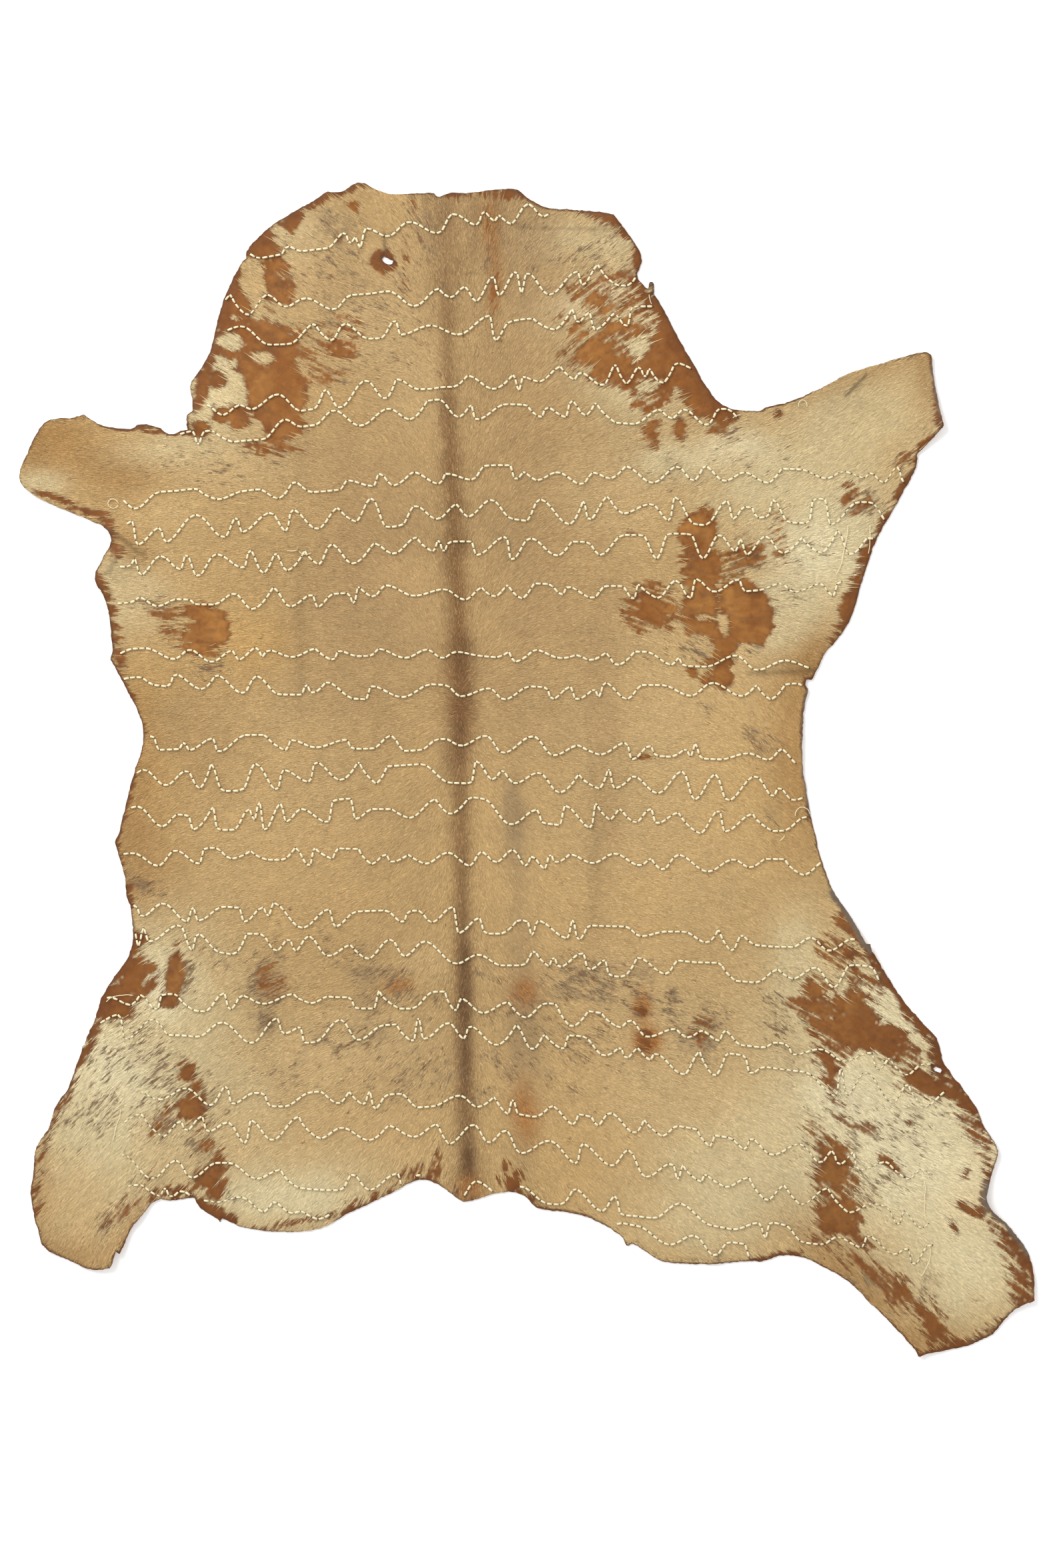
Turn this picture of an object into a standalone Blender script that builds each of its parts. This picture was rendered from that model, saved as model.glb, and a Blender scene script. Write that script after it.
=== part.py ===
"""A hair-on calfskin, laid flat with the hair side up.

One tanned skin with its whole natural outline: the neck at the top, the forelegs and hind legs as
flaps at the sides, the tail root at the bottom. The solid is the skin and its short coat together.

Metres, +Z up, +Y towards the neck. The origin is at the middle of the skin's outline, on its underside.
"""

import math
from collections import namedtuple

import bmesh
import bpy
from mathutils import Vector
from mathutils.geometry import delaunay_2d_cdt

MM = 0.001

# Driving sizes.
SKIN_WIDTH = 0.899
SKIN_LENGTH = 1.040
SKIN_AND_COAT = 0.003

# How finely the rim and the surface are divided.
RIM_STEP = 0.006
SURFACE_STEP = 0.016
CURVE_SAMPLES = 12

# The outline, clockwise from the notch below the neck's left side. Each table is one stretch of the
# cut edge, with a row for each bend: its place across and along the skin in millimetres, and whether
# the edge runs through it smoothly or turns a corner there.
Bend = namedtuple("Bend", "across along turn")
SOFT, SHARP = "soft", "sharp"

NECK_LEFT = (
    Bend(-296, 327, SHARP),
    Bend(-298, 340, SOFT),
    Bend(-290, 352, SOFT),
    Bend(-280, 371, SOFT),
    Bend(-270, 410, SOFT),
    Bend(-254, 446, SOFT),
    Bend(-248, 452, SHARP),
    Bend(-249, 455, SHARP),
    Bend(-243, 465, SOFT),
    Bend(-223, 483, SOFT),
    Bend(-192, 501, SOFT),
    Bend(-176, 511, SHARP),
)
NECK_TOP = (
    Bend(-165, 510.5, SOFT),
    Bend(-147, 520, SOFT),
    Bend(-139, 515.5, SOFT),
    Bend(-122, 509.5, SOFT),
    Bend(-82, 510, SHARP),
    Bend(-80, 506.5, SHARP),
    Bend(-76, 506.5, SHARP),
    Bend(-66, 510.5, SOFT),
    Bend(-53, 509.5, SOFT),
    Bend(-27, 513, SOFT),
    Bend(-9, 513, SOFT),
    Bend(3, 504, SOFT),
    Bend(18, 497, SOFT),
    Bend(51, 494.5, SOFT),
    Bend(77, 491, SHARP),
)
NECK_RIGHT = (
    Bend(91, 472, SOFT),
    Bend(101, 457, SOFT),
    Bend(101.5, 447, SOFT),
    Bend(97.5, 437, SOFT),
    Bend(107.5, 424.5, SHARP),
    Bend(109, 431, SHARP),
    Bend(112.5, 431, SHARP),
    Bend(113, 421, SHARP),
    Bend(124.5, 401, SOFT),
    Bend(136, 379, SOFT),
    Bend(159, 339, SOFT),
    Bend(167.5, 327, SOFT),
    Bend(180, 319.5, SOFT),
    Bend(207, 316.5, SHARP),
)
FORELEG_RIGHT = (
    Bend(211.5, 320, SOFT),
    Bend(236, 326.5, SOFT),
    Bend(265, 339.5, SOFT),
    Bend(283, 349, SOFT),
    Bend(331, 364, SOFT),
    Bend(354, 369, SOFT),
    Bend(358, 366.5, SHARP),
    Bend(363, 332.5, SOFT),
    Bend(369, 303, SHARP),
    Bend(361.5, 295, SOFT),
    Bend(346, 278.5, SHARP),
    Bend(344.5, 266, SOFT),
    Bend(334, 246, SOFT),
    Bend(314.5, 212, SOFT),
    Bend(307.5, 198, SOFT),
    Bend(297, 165.5, SOFT),
    Bend(288.5, 138, SOFT),
    Bend(278, 118, SOFT),
    Bend(264.5, 102.5, SOFT),
    Bend(253, 79, SHARP),
    Bend(248, 79.5, SHARP),
    Bend(247, 74.5, SOFT),
    Bend(249.5, 70, SHARP),
)
FLANK_RIGHT = (
    Bend(246, 56, SOFT),
    Bend(244, 18, SOFT),
    Bend(246, -8, SOFT),
    Bend(255, -56, SOFT),
    Bend(267, -97.5, SOFT),
    Bend(273, -110, SOFT),
    Bend(289, -133, SOFT),
    Bend(300.5, -154, SHARP),
    Bend(304, -154, SHARP),
    Bend(305, -159, SHARP),
)
THIGH_RIGHT = (
    Bend(325.5, -193, SOFT),
    Bend(339, -211, SOFT),
    Bend(363.5, -237.5, SHARP),
    Bend(370, -260, SOFT),
    Bend(387, -283.5, SOFT),
    Bend(398, -299, SOFT),
    Bend(405.5, -316.5, SOFT),
    Bend(417, -336, SOFT),
    Bend(415, -348, SOFT),
    Bend(407.5, -376, SOFT),
    Bend(410, -388, SOFT),
    Bend(427, -404, SOFT),
    Bend(443, -426, SOFT),
    Bend(449, -445, SOFT),
    Bend(449, -470, SHARP),
)
HIND_FOOT_RIGHT = (
    Bend(432, -478.5, SOFT),
    Bend(413, -500, SHARP),
    Bend(391.5, -509.5, SOFT),
    Bend(351, -518, SOFT),
    Bend(347, -520, SHARP),
    Bend(344, -514, SOFT),
    Bend(327, -494.5, SOFT),
    Bend(305, -473, SOFT),
    Bend(286, -454, SOFT),
    Bend(259, -438, SOFT),
    Bend(241.5, -431, SOFT),
    Bend(224, -430.5, SOFT),
)
RUMP_RIGHT = (
    Bend(208, -435.5, SOFT),
    Bend(197, -435, SOFT),
    Bend(167.5, -438, SHARP),
    Bend(143, -437.5, SOFT),
    Bend(119, -434.5, SOFT),
    Bend(93, -419, SOFT),
    Bend(89, -421.5, SHARP),
    Bend(83, -412.5, SOFT),
    Bend(62.5, -400, SOFT),
    Bend(44, -393.5, SOFT),
    Bend(9.5, -388, SOFT),
    Bend(-1.5, -378, SOFT),
    Bend(-12, -374.5, SOFT),
)
TAIL_ROOT = (
    Bend(-28, -375, SOFT),
    Bend(-41, -379, SOFT),
    Bend(-55, -383, SOFT),
    Bend(-67.5, -375, SOFT),
    Bend(-76.5, -368.5, SOFT),
    Bend(-90, -363, SOFT),
    Bend(-107, -367.5, SOFT),
    Bend(-118, -374, SOFT),
)
RUMP_LEFT = (
    Bend(-158, -393, SOFT),
    Bend(-180, -405, SOFT),
    Bend(-199, -409, SOFT),
    Bend(-222, -409, SOFT),
    Bend(-248, -406, SOFT),
    Bend(-270, -397.5, SHARP),
    Bend(-271.5, -401.5, SHARP),
    Bend(-273.5, -398, SHARP),
    Bend(-290, -387.5, SOFT),
    Bend(-294, -379, SHARP),
    Bend(-316, -381.5, SOFT),
    Bend(-327, -380.5, SOFT),
)
HINDLEG_LEFT = (
    Bend(-338.5, -392, SOFT),
    Bend(-350, -407, SOFT),
    Bend(-360, -429, SHARP),
    Bend(-363, -427, SHARP),
    Bend(-368.5, -441, SHARP),
    Bend(-382, -443, SOFT),
    Bend(-391, -441, SOFT),
    Bend(-427, -423, SOFT),
    Bend(-431, -412, SOFT),
    Bend(-439, -378, SOFT),
    Bend(-436.5, -354, SOFT),
    Bend(-434.5, -335.5, SOFT),
    Bend(-423, -317.5, SHARP),
    Bend(-415, -294, SOFT),
    Bend(-408, -286.5, SOFT),
    Bend(-396, -254.5, SOFT),
    Bend(-380.5, -216, SOFT),
    Bend(-374.5, -198, SOFT),
    Bend(-353, -166.5, SOFT),
    Bend(-348.5, -150.5, SOFT),
)
FLANK_LEFT = (
    Bend(-351, -122.5, SHARP),
    Bend(-354.5, -110, SOFT),
    Bend(-356.5, -92, SOFT),
    Bend(-364, -66, SOFT),
    Bend(-361, -57, SHARP),
    Bend(-350, -11.5, SOFT),
    Bend(-340, 22, SHARP),
    Bend(-340, 38, SOFT),
    Bend(-345.5, 54, SOFT),
    Bend(-369, 98, SHARP),
    Bend(-367, 106, SOFT),
    Bend(-370.5, 140, SOFT),
    Bend(-374, 153, SOFT),
    Bend(-382, 168, SOFT),
    Bend(-376.5, 184.5, SOFT),
    Bend(-368, 201, SOFT),
)
FORELEG_LEFT = (
    Bend(-371, 211.5, SOFT),
    Bend(-384, 219, SOFT),
    Bend(-429, 238.5, SOFT),
    Bend(-446.5, 251.5, SOFT),
    Bend(-449.5, 258.5, SOFT),
    Bend(-443.5, 276, SOFT),
    Bend(-429, 304.5, SOFT),
    Bend(-412.5, 311, SOFT),
    Bend(-403, 311, SOFT),
    Bend(-392, 314, SHARP),
    Bend(-382.5, 307, SOFT),
    Bend(-368, 302.5, SOFT),
    Bend(-349.5, 301, SHARP),
    Bend(-344, 305, SOFT),
    Bend(-328.5, 303.5, SOFT),
    Bend(-314, 296, SOFT),
    Bend(-303, 301.5, SOFT),
    Bend(-300.5, 300, SHARP),
    Bend(-301, 315, SOFT),
    Bend(-296, 316.5, SHARP),
)
OUTLINE = (
    NECK_LEFT + NECK_TOP + NECK_RIGHT + FORELEG_RIGHT + FLANK_RIGHT + THIGH_RIGHT + HIND_FOOT_RIGHT
    + RUMP_RIGHT + TAIL_ROOT + RUMP_LEFT + HINDLEG_LEFT + FLANK_LEFT + FORELEG_LEFT
)

# Holes right through the skin: a healed wound in the neck and a short tear near the right thigh's edge.
Hole = namedtuple("Hole", "name across along length width heading bow points")
HOLES = (
    Hole("neck wound", -123.5, 450.5, 14, 5, -28, 2.0, 14),
    Hole("thigh tear", 364, -265.5, 12, 3.5, -28, 0.0, 10),
)

# Where the skin doesn't lie flat. A ridge is a soft crease, a lift is an edge that has curled up off
# the floor. Places and sizes in millimetres, headings in degrees from +X.
Ridge = namedtuple("Ridge", "name across along heading half_length half_width height")
RIDGES = (
    Ridge("left armpit crease", -352, 200, -36, 24, 8, 4.0),
    Ridge("left flap", -362, 184, -59, 14, 6, 2.5),
    Ridge("right armpit, upper side", 226, 99, -4, 34, 9, 3.0),
    Ridge("right armpit, lower side", 226, 75, -4, 30, 9, 3.0),
    Ridge("neck, left of the spine", -86, 478, 96, 40, 10, 3.5),
    Ridge("neck, right of the spine", -50, 480, 84, 34, 10, 3.0),
    Ridge("right foreleg crease", 291, 339, 47, 17, 6, 2.5),
    Ridge("rump crease", 168, -424, 90, 16, 6, 2.5),
    Ridge("left shoulder swell", -230, 196, 24, 95, 30, 2.0),
    Ridge("right shoulder swell", 196, 206, -30, 80, 28, 2.0),
    Ridge("left thigh swell", -262, -262, -52, 90, 28, 2.2),
    Ridge("right thigh swell", 268, -300, 48, 90, 30, 2.4),
    Ridge("rump swell", -96, -330, 12, 60, 22, 1.6),
)
Lift = namedtuple("Lift", "name across along reach height")
LIFTS = (
    Lift("neck, top left corner", -176, 514, 55, 4.0),
    Lift("neck, top right corner", 80, 494, 55, 5.0),
    Lift("neck, left corner", -252, 456, 40, 3.0),
    Lift("right foreleg tip", 369, 304, 62, 8.0),
    Lift("right foreleg, upper corner", 358, 369, 45, 4.0),
    Lift("right flank", 247, 20, 70, 4.0),
    Lift("right flank, rear", 301, -154, 60, 7.0),
    Lift("right thigh notch", 410, -388, 60, 9.5),
    Lift("right thigh", 418, -338, 40, 4.0),
    Lift("right hind foot, outer corner", 450, -470, 60, 5.0),
    Lift("right hind foot, inner corner", 347, -520, 45, 4.0),
    Lift("left hind leg, inner edge", -343, -398, 42, 5.0),
    Lift("left hind foot, inner edge", -365, -433, 46, 8.0),
    Lift("left hind foot, outer edge", -434, -402, 50, 5.0),
    Lift("left flank", -364, -64, 48, 4.0),
    Lift("left armpit edge", -379, 168, 46, 6.0),
    Lift("left foreleg tip", -450, 258, 56, 5.0),
    Lift("left shoulder notch", -300, 306, 34, 3.5),
)

COAT_COLOUR = (0.52, 0.34, 0.15, 1.0)
COAT_ROUGHNESS = 0.75


def hermite(start, end, start_slope, end_slope, t):
    """A point on the cubic from start to end, with the given slopes in length per unit of t."""
    t2, t3 = t * t, t * t * t
    return (
        start * (2 * t3 - 3 * t2 + 1)
        + start_slope * (t3 - 2 * t2 + t)
        + end * (3 * t2 - 2 * t3)
        + end_slope * (t3 - t2)
    )


def edge_curve(bends):
    """The stretches between corners, each a dense list of points on a smooth curve through its bends."""
    spots = [Vector((bend.across, bend.along)) * MM for bend in bends]
    count = len(bends)
    corners = [i for i, bend in enumerate(bends) if bend.turn == SHARP]

    def slope(i, side):
        before, here, after = spots[i - 1], spots[i], spots[(i + 1) % count]
        if bends[i].turn == SHARP:
            near = after if side == "out" else before
            way = near - here if side == "out" else here - near
            return way.normalized()
        return (after - before) / ((after - here).length + (here - before).length)

    stretches = []
    for place, first in enumerate(corners):
        last = corners[(place + 1) % len(corners)]
        steps = (last - first) % count
        points = [spots[first]]
        for k in range(steps):
            a, b = (first + k) % count, (first + k + 1) % count
            length = (spots[b] - spots[a]).length
            for sample in range(1, CURVE_SAMPLES + 1):
                leaving, arriving = slope(a, "out") * length, slope(b, "in") * length
                points.append(hermite(spots[a], spots[b], leaving, arriving, sample / CURVE_SAMPLES))
        stretches.append(points)
    return stretches


def evenly_spaced(points, step):
    """The points moved to equal distances of about one step, without the last."""
    lengths = [(b - a).length for a, b in zip(points, points[1:])]
    total = sum(lengths)
    pieces = max(1, round(total / step))
    spaced, walked, piece = [], 0.0, 0
    for (a, b), length in zip(zip(points, points[1:]), lengths):
        while piece < pieces and piece * total / pieces <= walked + length:
            part = (piece * total / pieces - walked) / length
            spaced.append(a.lerp(b, part))
            piece += 1
        walked += length
    return spaced


def fitted(points):
    """The outline centred on the origin and stretched to the skin's stated width and length."""
    lowest = Vector((min(p.x for p in points), min(p.y for p in points)))
    highest = Vector((max(p.x for p in points), max(p.y for p in points)))
    middle, size = (lowest + highest) / 2, highest - lowest
    return [
        Vector(((p.x - middle.x) * SKIN_WIDTH / size.x, (p.y - middle.y) * SKIN_LENGTH / size.y))
        for p in points
    ]


def hole_rim(hole):
    """An ellipse bowed along its length, turned to its heading."""
    turn = math.radians(hole.heading)
    rim = []
    for k in range(hole.points):
        angle = math.tau * k / hole.points
        u = hole.length / 2 * math.cos(angle)
        v = hole.width / 2 * math.sin(angle) + hole.bow * math.cos(angle) ** 2
        x = hole.across + u * math.cos(turn) - v * math.sin(turn)
        y = hole.along + u * math.sin(turn) + v * math.cos(turn)
        rim.append(Vector((x, y)) * MM)
    return rim


def inside(point, loop):
    """Whether a point lies inside a closed loop of points."""
    found = False
    for a, b in zip(loop, loop[1:] + loop[:1]):
        if (a.y > point.y) != (b.y > point.y):
            if point.x < a.x + (point.y - a.y) * (b.x - a.x) / (b.y - a.y):
                found = not found
    return found


def surface_spots(rims):
    """Points on a staggered grid inside the outline, clear of every rim."""
    clearance = 0.6 * SURFACE_STEP
    row_step = SURFACE_STEP * math.sqrt(3) / 2
    rim_points = [p for rim in rims for p in rim]
    rows = math.ceil(SKIN_LENGTH / 2 / row_step)
    columns = math.ceil(SKIN_WIDTH / 2 / SURFACE_STEP)
    spots = []
    for row in range(-rows, rows + 1):
        stagger = SURFACE_STEP / 2 * (row % 2)
        for column in range(-columns, columns + 1):
            spot = Vector((column * SURFACE_STEP + stagger, row * row_step))
            if not inside(spot, rims[0]):
                continue
            if min((p - spot).length_squared for p in rim_points) > clearance ** 2:
                spots.append(spot)
    return spots


def rest_height(point):
    """How far the underside is off the floor at this place."""
    height = 0.0
    for ridge in RIDGES:
        away = point - Vector((ridge.across, ridge.along)) * MM
        turn = math.radians(ridge.heading)
        along = away.x * math.cos(turn) + away.y * math.sin(turn)
        beside = away.y * math.cos(turn) - away.x * math.sin(turn)
        along /= ridge.half_length * MM
        beside /= ridge.half_width * MM
        height += ridge.height * MM * math.exp(-along ** 4 - beside ** 2)
    for lift in LIFTS:
        distance = (point - Vector((lift.across, lift.along)) * MM).length
        rise = max(0.0, 1 - distance / (lift.reach * MM))
        height += lift.height * MM * rise ** 2
    flat_below = 0.0002
    return max(0.0, height - flat_below)


def skin_surface():
    """The underside of the skin as one open surface, cut to its outline and pierced by its holes."""
    rim = []
    for stretch in edge_curve(OUTLINE):
        rim += evenly_spaced(stretch, RIM_STEP)
    rims = [fitted(rim)] + [hole_rim(hole) for hole in HOLES]
    points, edges = [], []
    for loop in rims:
        first = len(points)
        points += loop
        edges += [(first + k, first + (k + 1) % len(loop)) for k in range(len(loop))]
    points += surface_spots(rims)
    inside_only, merge_within = 1, 1e-7
    flat, _, faces, *_ = delaunay_2d_cdt(points, edges, [], inside_only, merge_within)
    mesh = bmesh.new()
    verts = [mesh.verts.new((p.x, p.y, rest_height(p))) for p in flat]
    for face in faces:
        middle = sum((flat[i] for i in face), Vector((0, 0))) / len(face)
        if inside(middle, rims[0]) and not any(inside(middle, hole) for hole in rims[1:]):
            mesh.faces.new([verts[i] for i in face])
    bmesh.ops.delete(mesh, geom=[v for v in mesh.verts if not v.link_faces], context="VERTS")
    for face in mesh.faces:
        if face.normal.z < 0:
            face.normal_flip()
    return mesh


def coat_material():
    material = bpy.data.materials.new("calfskin")
    material.use_nodes = True
    shader = material.node_tree.nodes["Principled BSDF"]
    shader.inputs["Base Color"].default_value = COAT_COLOUR
    shader.inputs["Roughness"].default_value = COAT_ROUGHNESS
    shader.inputs["Metallic"].default_value = 0.0
    material.diffuse_color = COAT_COLOUR
    return material


def make_calfskin(collection):
    surface = skin_surface()
    surface.normal_update()
    mesh = bpy.data.meshes.new("calfskin")
    surface.to_mesh(mesh)
    surface.free()
    mesh.shade_smooth()
    mesh.set_sharp_from_angle(angle=math.radians(40))
    mesh.materials.append(coat_material())
    skin = bpy.data.objects.new("calfskin", mesh)
    collection.objects.link(skin)
    thicken = skin.modifiers.new("skin and coat", "SOLIDIFY")
    thicken.thickness = SKIN_AND_COAT
    thicken.offset = 1.0
    return skin


def main():
    for old in list(bpy.data.objects):
        bpy.data.objects.remove(old)
    collection = bpy.data.collections.new("hair_on_calfskin")
    bpy.context.scene.collection.children.link(collection)
    make_calfskin(collection)


main()
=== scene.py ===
"""The looks of a hair-on calfskin: its tanned hide, its short coat and its rows of stitching."""

import math
from collections import namedtuple

import bpy
import numpy as np
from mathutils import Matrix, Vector
from mathutils.bvhtree import BVHTree
from mathutils.geometry import delaunay_2d_cdt
from mathutils.kdtree import KDTree


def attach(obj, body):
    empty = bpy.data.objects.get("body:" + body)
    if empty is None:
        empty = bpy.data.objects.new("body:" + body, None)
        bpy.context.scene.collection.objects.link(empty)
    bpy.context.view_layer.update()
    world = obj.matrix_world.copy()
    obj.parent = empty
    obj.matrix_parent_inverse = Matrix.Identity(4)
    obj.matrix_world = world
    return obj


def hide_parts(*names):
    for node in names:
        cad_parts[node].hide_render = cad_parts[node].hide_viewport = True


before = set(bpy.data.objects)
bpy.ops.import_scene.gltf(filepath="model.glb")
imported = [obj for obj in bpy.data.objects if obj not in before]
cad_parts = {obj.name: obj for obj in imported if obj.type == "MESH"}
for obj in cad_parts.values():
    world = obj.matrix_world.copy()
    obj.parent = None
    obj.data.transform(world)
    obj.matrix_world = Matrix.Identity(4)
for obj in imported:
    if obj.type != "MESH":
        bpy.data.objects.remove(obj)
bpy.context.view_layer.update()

# The room: a white floor seen from straight above, a broad soft lamp at the upper left, and white light
# from all round, so that the skin throws only a faint shadow under its lifted edges.
PICTURE_TALL = 1.3877
PICTURE_MIDDLE = (-0.0036, -0.0127)
LENS, SENSOR = 100.0, 36.0
COAT_LEVEL = 0.003
FLOOR_SIZE, FLOOR_DROP = 14.0, 0.0004


def put_in_room(name, data):
    """A new object in the scene, from its mesh, lamp or camera."""
    thing = bpy.data.objects.new(name, data)
    bpy.context.scene.collection.objects.link(thing)
    return thing


def finish(name, roughness, specular):
    """A new material with nodes, its tree and its shader."""
    material = bpy.data.materials.new(name)
    material.use_nodes = True
    shader = material.node_tree.nodes["Principled BSDF"]
    shader.inputs["Roughness"].default_value = roughness
    shader.inputs["Specular IOR Level"].default_value = specular
    return material, material.node_tree, shader


camera_data = bpy.data.cameras.new("camera")
camera_data.lens = LENS
camera_data.sensor_width = SENSOR
camera_data.clip_end = 50.0
camera = put_in_room("camera", camera_data)
camera.location = (*PICTURE_MIDDLE, COAT_LEVEL + PICTURE_TALL * LENS / SENSOR)
bpy.context.scene.camera = camera
bpy.context.scene.view_settings.view_transform = "Standard"

floor_mesh = bpy.data.meshes.new("floor")
half = FLOOR_SIZE / 2
floor_corners = [(x * half, y * half, -FLOOR_DROP) for x, y in ((-1, -1), (1, -1), (1, 1), (-1, 1))]
floor_mesh.from_pydata(floor_corners, [], [(0, 1, 2, 3)])
floor = put_in_room("floor", floor_mesh)
floor_paint, _, shader = finish("white floor", 0.9, 0.1)
shader.inputs["Base Color"].default_value = (0.93, 0.93, 0.93, 1.0)
shader.inputs["Emission Color"].default_value = (1.0, 1.0, 1.0, 1.0)
shader.inputs["Emission Strength"].default_value = 0.14
floor_mesh.materials.append(floor_paint)

world = bpy.data.worlds.new("soft white room")
world.use_nodes = True
sky = world.node_tree.nodes["Background"]
sky.inputs["Color"].default_value = (1.0, 1.0, 1.0, 1.0)
sky.inputs["Strength"].default_value = 0.86
bpy.context.scene.world = world

lamp_data = bpy.data.lights.new("soft lamp", "AREA")
lamp_data.shape = "SQUARE"
lamp_data.size = 1.6
lamp_data.energy = 74.0
lamp = put_in_room("soft lamp", lamp_data)
lamp.location = (-1.7, 1.9, 2.3)
lamp.rotation_euler = (-Vector(lamp.location)).to_track_quat("-Z", "Y").to_euler()

# The hide: one tanned calfskin, cut round by hand, about 1.3 mm thick, grain side up. It lies where the
# solid's underside lies, with the same creases and lifted edges, and its cut edge is slightly ragged.
HIDE_THICK = 0.0013
EDGE_THIN, EDGE_SOFT = 0.78, 0.003
RIM_STEP, RIM_RAGGED = 0.0022, 0.0004
FINE_STEP = 0.0021
FINE_STEPS_IN_COARSE = 3
UNDERSIDE_STEP = 0.010
SKIN_HALF_WIDE, SKIN_HALF_TALL = 0.46, 0.532
PIXEL = 0.00059
PICTURE_ORIGIN = (790.0, 1154.5)
CHART_STEP = 0.001
CHART_LEFT, CHART_LOW = -0.466, -0.538
CHART_WIDE, CHART_TALL = 933, 1077
MICRONS = 1e6
LATTICE, LATTICE_SHIFT = 256, 900.0


def on_skin(px, py):
    """Metres on the skin, from a place read off the picture in steps of 0.59 mm."""
    return (px - PICTURE_ORIGIN[0]) * PIXEL, (PICTURE_ORIGIN[1] - py) * PIXEL


def dye(red, green, blue):
    """A colour as seen, 0 to 255, as the light values that Blender takes."""
    seen = np.array((red, green, blue)) / 255.0
    return np.where(seen <= 0.04045, seen / 12.92, ((seen + 0.055) / 1.055) ** 2.4)


def smooth(low, high, value):
    """How far a value is from low to high, from 0 to 1, eased at both ends."""
    part = np.clip((value - low) / (high - low), 0.0, 1.0)
    return part * part * (3.0 - 2.0 * part)


def mix_of_nodes(chart, column, row, fu, fv):
    """A chart's value between the four nodes round each place."""
    low = chart[row, column] * (1.0 - fu) + chart[row, column + 1] * fu
    high = chart[row + 1, column] * (1.0 - fu) + chart[row + 1, column + 1] * fu
    return low * (1.0 - fv) + high * fv


def read_chart(chart, x, y, step=CHART_STEP):
    """The value of a chart of the skin at places in metres, between its nodes."""
    u = np.clip((x - CHART_LEFT) / step, 0.0, chart.shape[1] - 1.001)
    v = np.clip((y - CHART_LOW) / step, 0.0, chart.shape[0] - 1.001)
    column, row = u.astype(np.int64), v.astype(np.int64)
    fu, fv = u - column, v - row
    if chart.ndim == 3:
        fu, fv = fu[..., None], fv[..., None]
    return mix_of_nodes(chart, column, row, fu, fv)


def clouds(x, y, size, seed):
    """Soft blotches of about the given size in metres, from -1 to 1."""
    lattice = np.random.default_rng(seed).uniform(-1.0, 1.0, (LATTICE + 1, LATTICE + 1))
    u, v = x / size + LATTICE_SHIFT, y / size + LATTICE_SHIFT
    column, row = np.floor(u).astype(np.int64), np.floor(v).astype(np.int64)
    fu, fv = smooth(0.0, 1.0, u - column), smooth(0.0, 1.0, v - row)
    return mix_of_nodes(lattice, column % LATTICE, row % LATTICE, fu, fv)


def welded(mesh):
    """The mesh's points joined where they meet, and its triangles."""
    mesh.calc_loop_triangles()
    places = np.empty(len(mesh.vertices) * 3)
    mesh.vertices.foreach_get("co", places)
    corners = np.empty(len(mesh.loop_triangles) * 3, np.int32)
    mesh.loop_triangles.foreach_get("vertices", corners)
    places = places.reshape(-1, 3)
    keys = np.round(places * MICRONS).astype(np.int64)
    _, first, joined = np.unique(keys, axis=0, return_index=True, return_inverse=True)
    return places[first], joined.reshape(-1)[corners].reshape(-1, 3)


def open_edges(faces):
    """The edges that only one face has, in that face's direction."""
    pairs = np.concatenate((faces[:, [0, 1]], faces[:, [1, 2]], faces[:, [2, 0]])).tolist()
    known = set(map(tuple, pairs))
    return [(a, b) for a, b in pairs if (b, a) not in known]


def rims_of(faces):
    """The closed loops of edges that only one face has, the longest first."""
    ahead = dict(open_edges(faces))
    loops = []
    while ahead:
        start = next(iter(ahead))
        loop = [start]
        spot = ahead.pop(start)
        while spot != start:
            loop.append(spot)
            spot = ahead.pop(spot)
        loops.append(loop)
    return sorted(loops, key=len, reverse=True)


def walked_along(path):
    """The distance walked from a path's start to each of its points."""
    return np.concatenate(([0.0], np.cumsum(np.linalg.norm(np.diff(path, axis=0), axis=1))))


def on_path(path, walked, spots):
    """The places on a path at distances from its start."""
    return np.stack([np.interp(spots, walked, path[:, k]) for k in (0, 1)], axis=1)


def finer_rim(points, step, sharp_from=math.radians(28), parts=6, fewest=12):
    """A closed rim as a smooth curve through its points, keeping its corners, at an even step."""
    after, before = np.roll(points, -1, axis=0), np.roll(points, 1, axis=0)
    leaving, coming = after - points, points - before
    turn = np.einsum("ij,ij->i", leaving, coming) / (
        np.linalg.norm(leaving, axis=1) * np.linalg.norm(coming, axis=1)
    )
    soft = (turn > math.cos(sharp_from))[:, None]
    slope_out = np.where(soft, (after - before) / 2, leaving)
    slope_in = np.where(soft, (after - before) / 2, coming)
    t = (np.arange(parts) / parts)[None, :, None]
    start, end = points[:, None], after[:, None]
    out, into = slope_out[:, None], np.roll(slope_in, -1, axis=0)[:, None]
    curve = (
        start * (2 * t**3 - 3 * t**2 + 1)
        + out * (t**3 - 2 * t**2 + t)
        + end * (3 * t**2 - 2 * t**3)
        + into * (t**3 - t**2)
    ).reshape(-1, 2)
    closed = np.vstack((curve, curve[:1]))
    walked = walked_along(closed)
    spots = np.linspace(0.0, walked[-1], max(fewest, round(walked[-1] / step)), endpoint=False)
    return on_path(closed, walked, spots)


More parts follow.
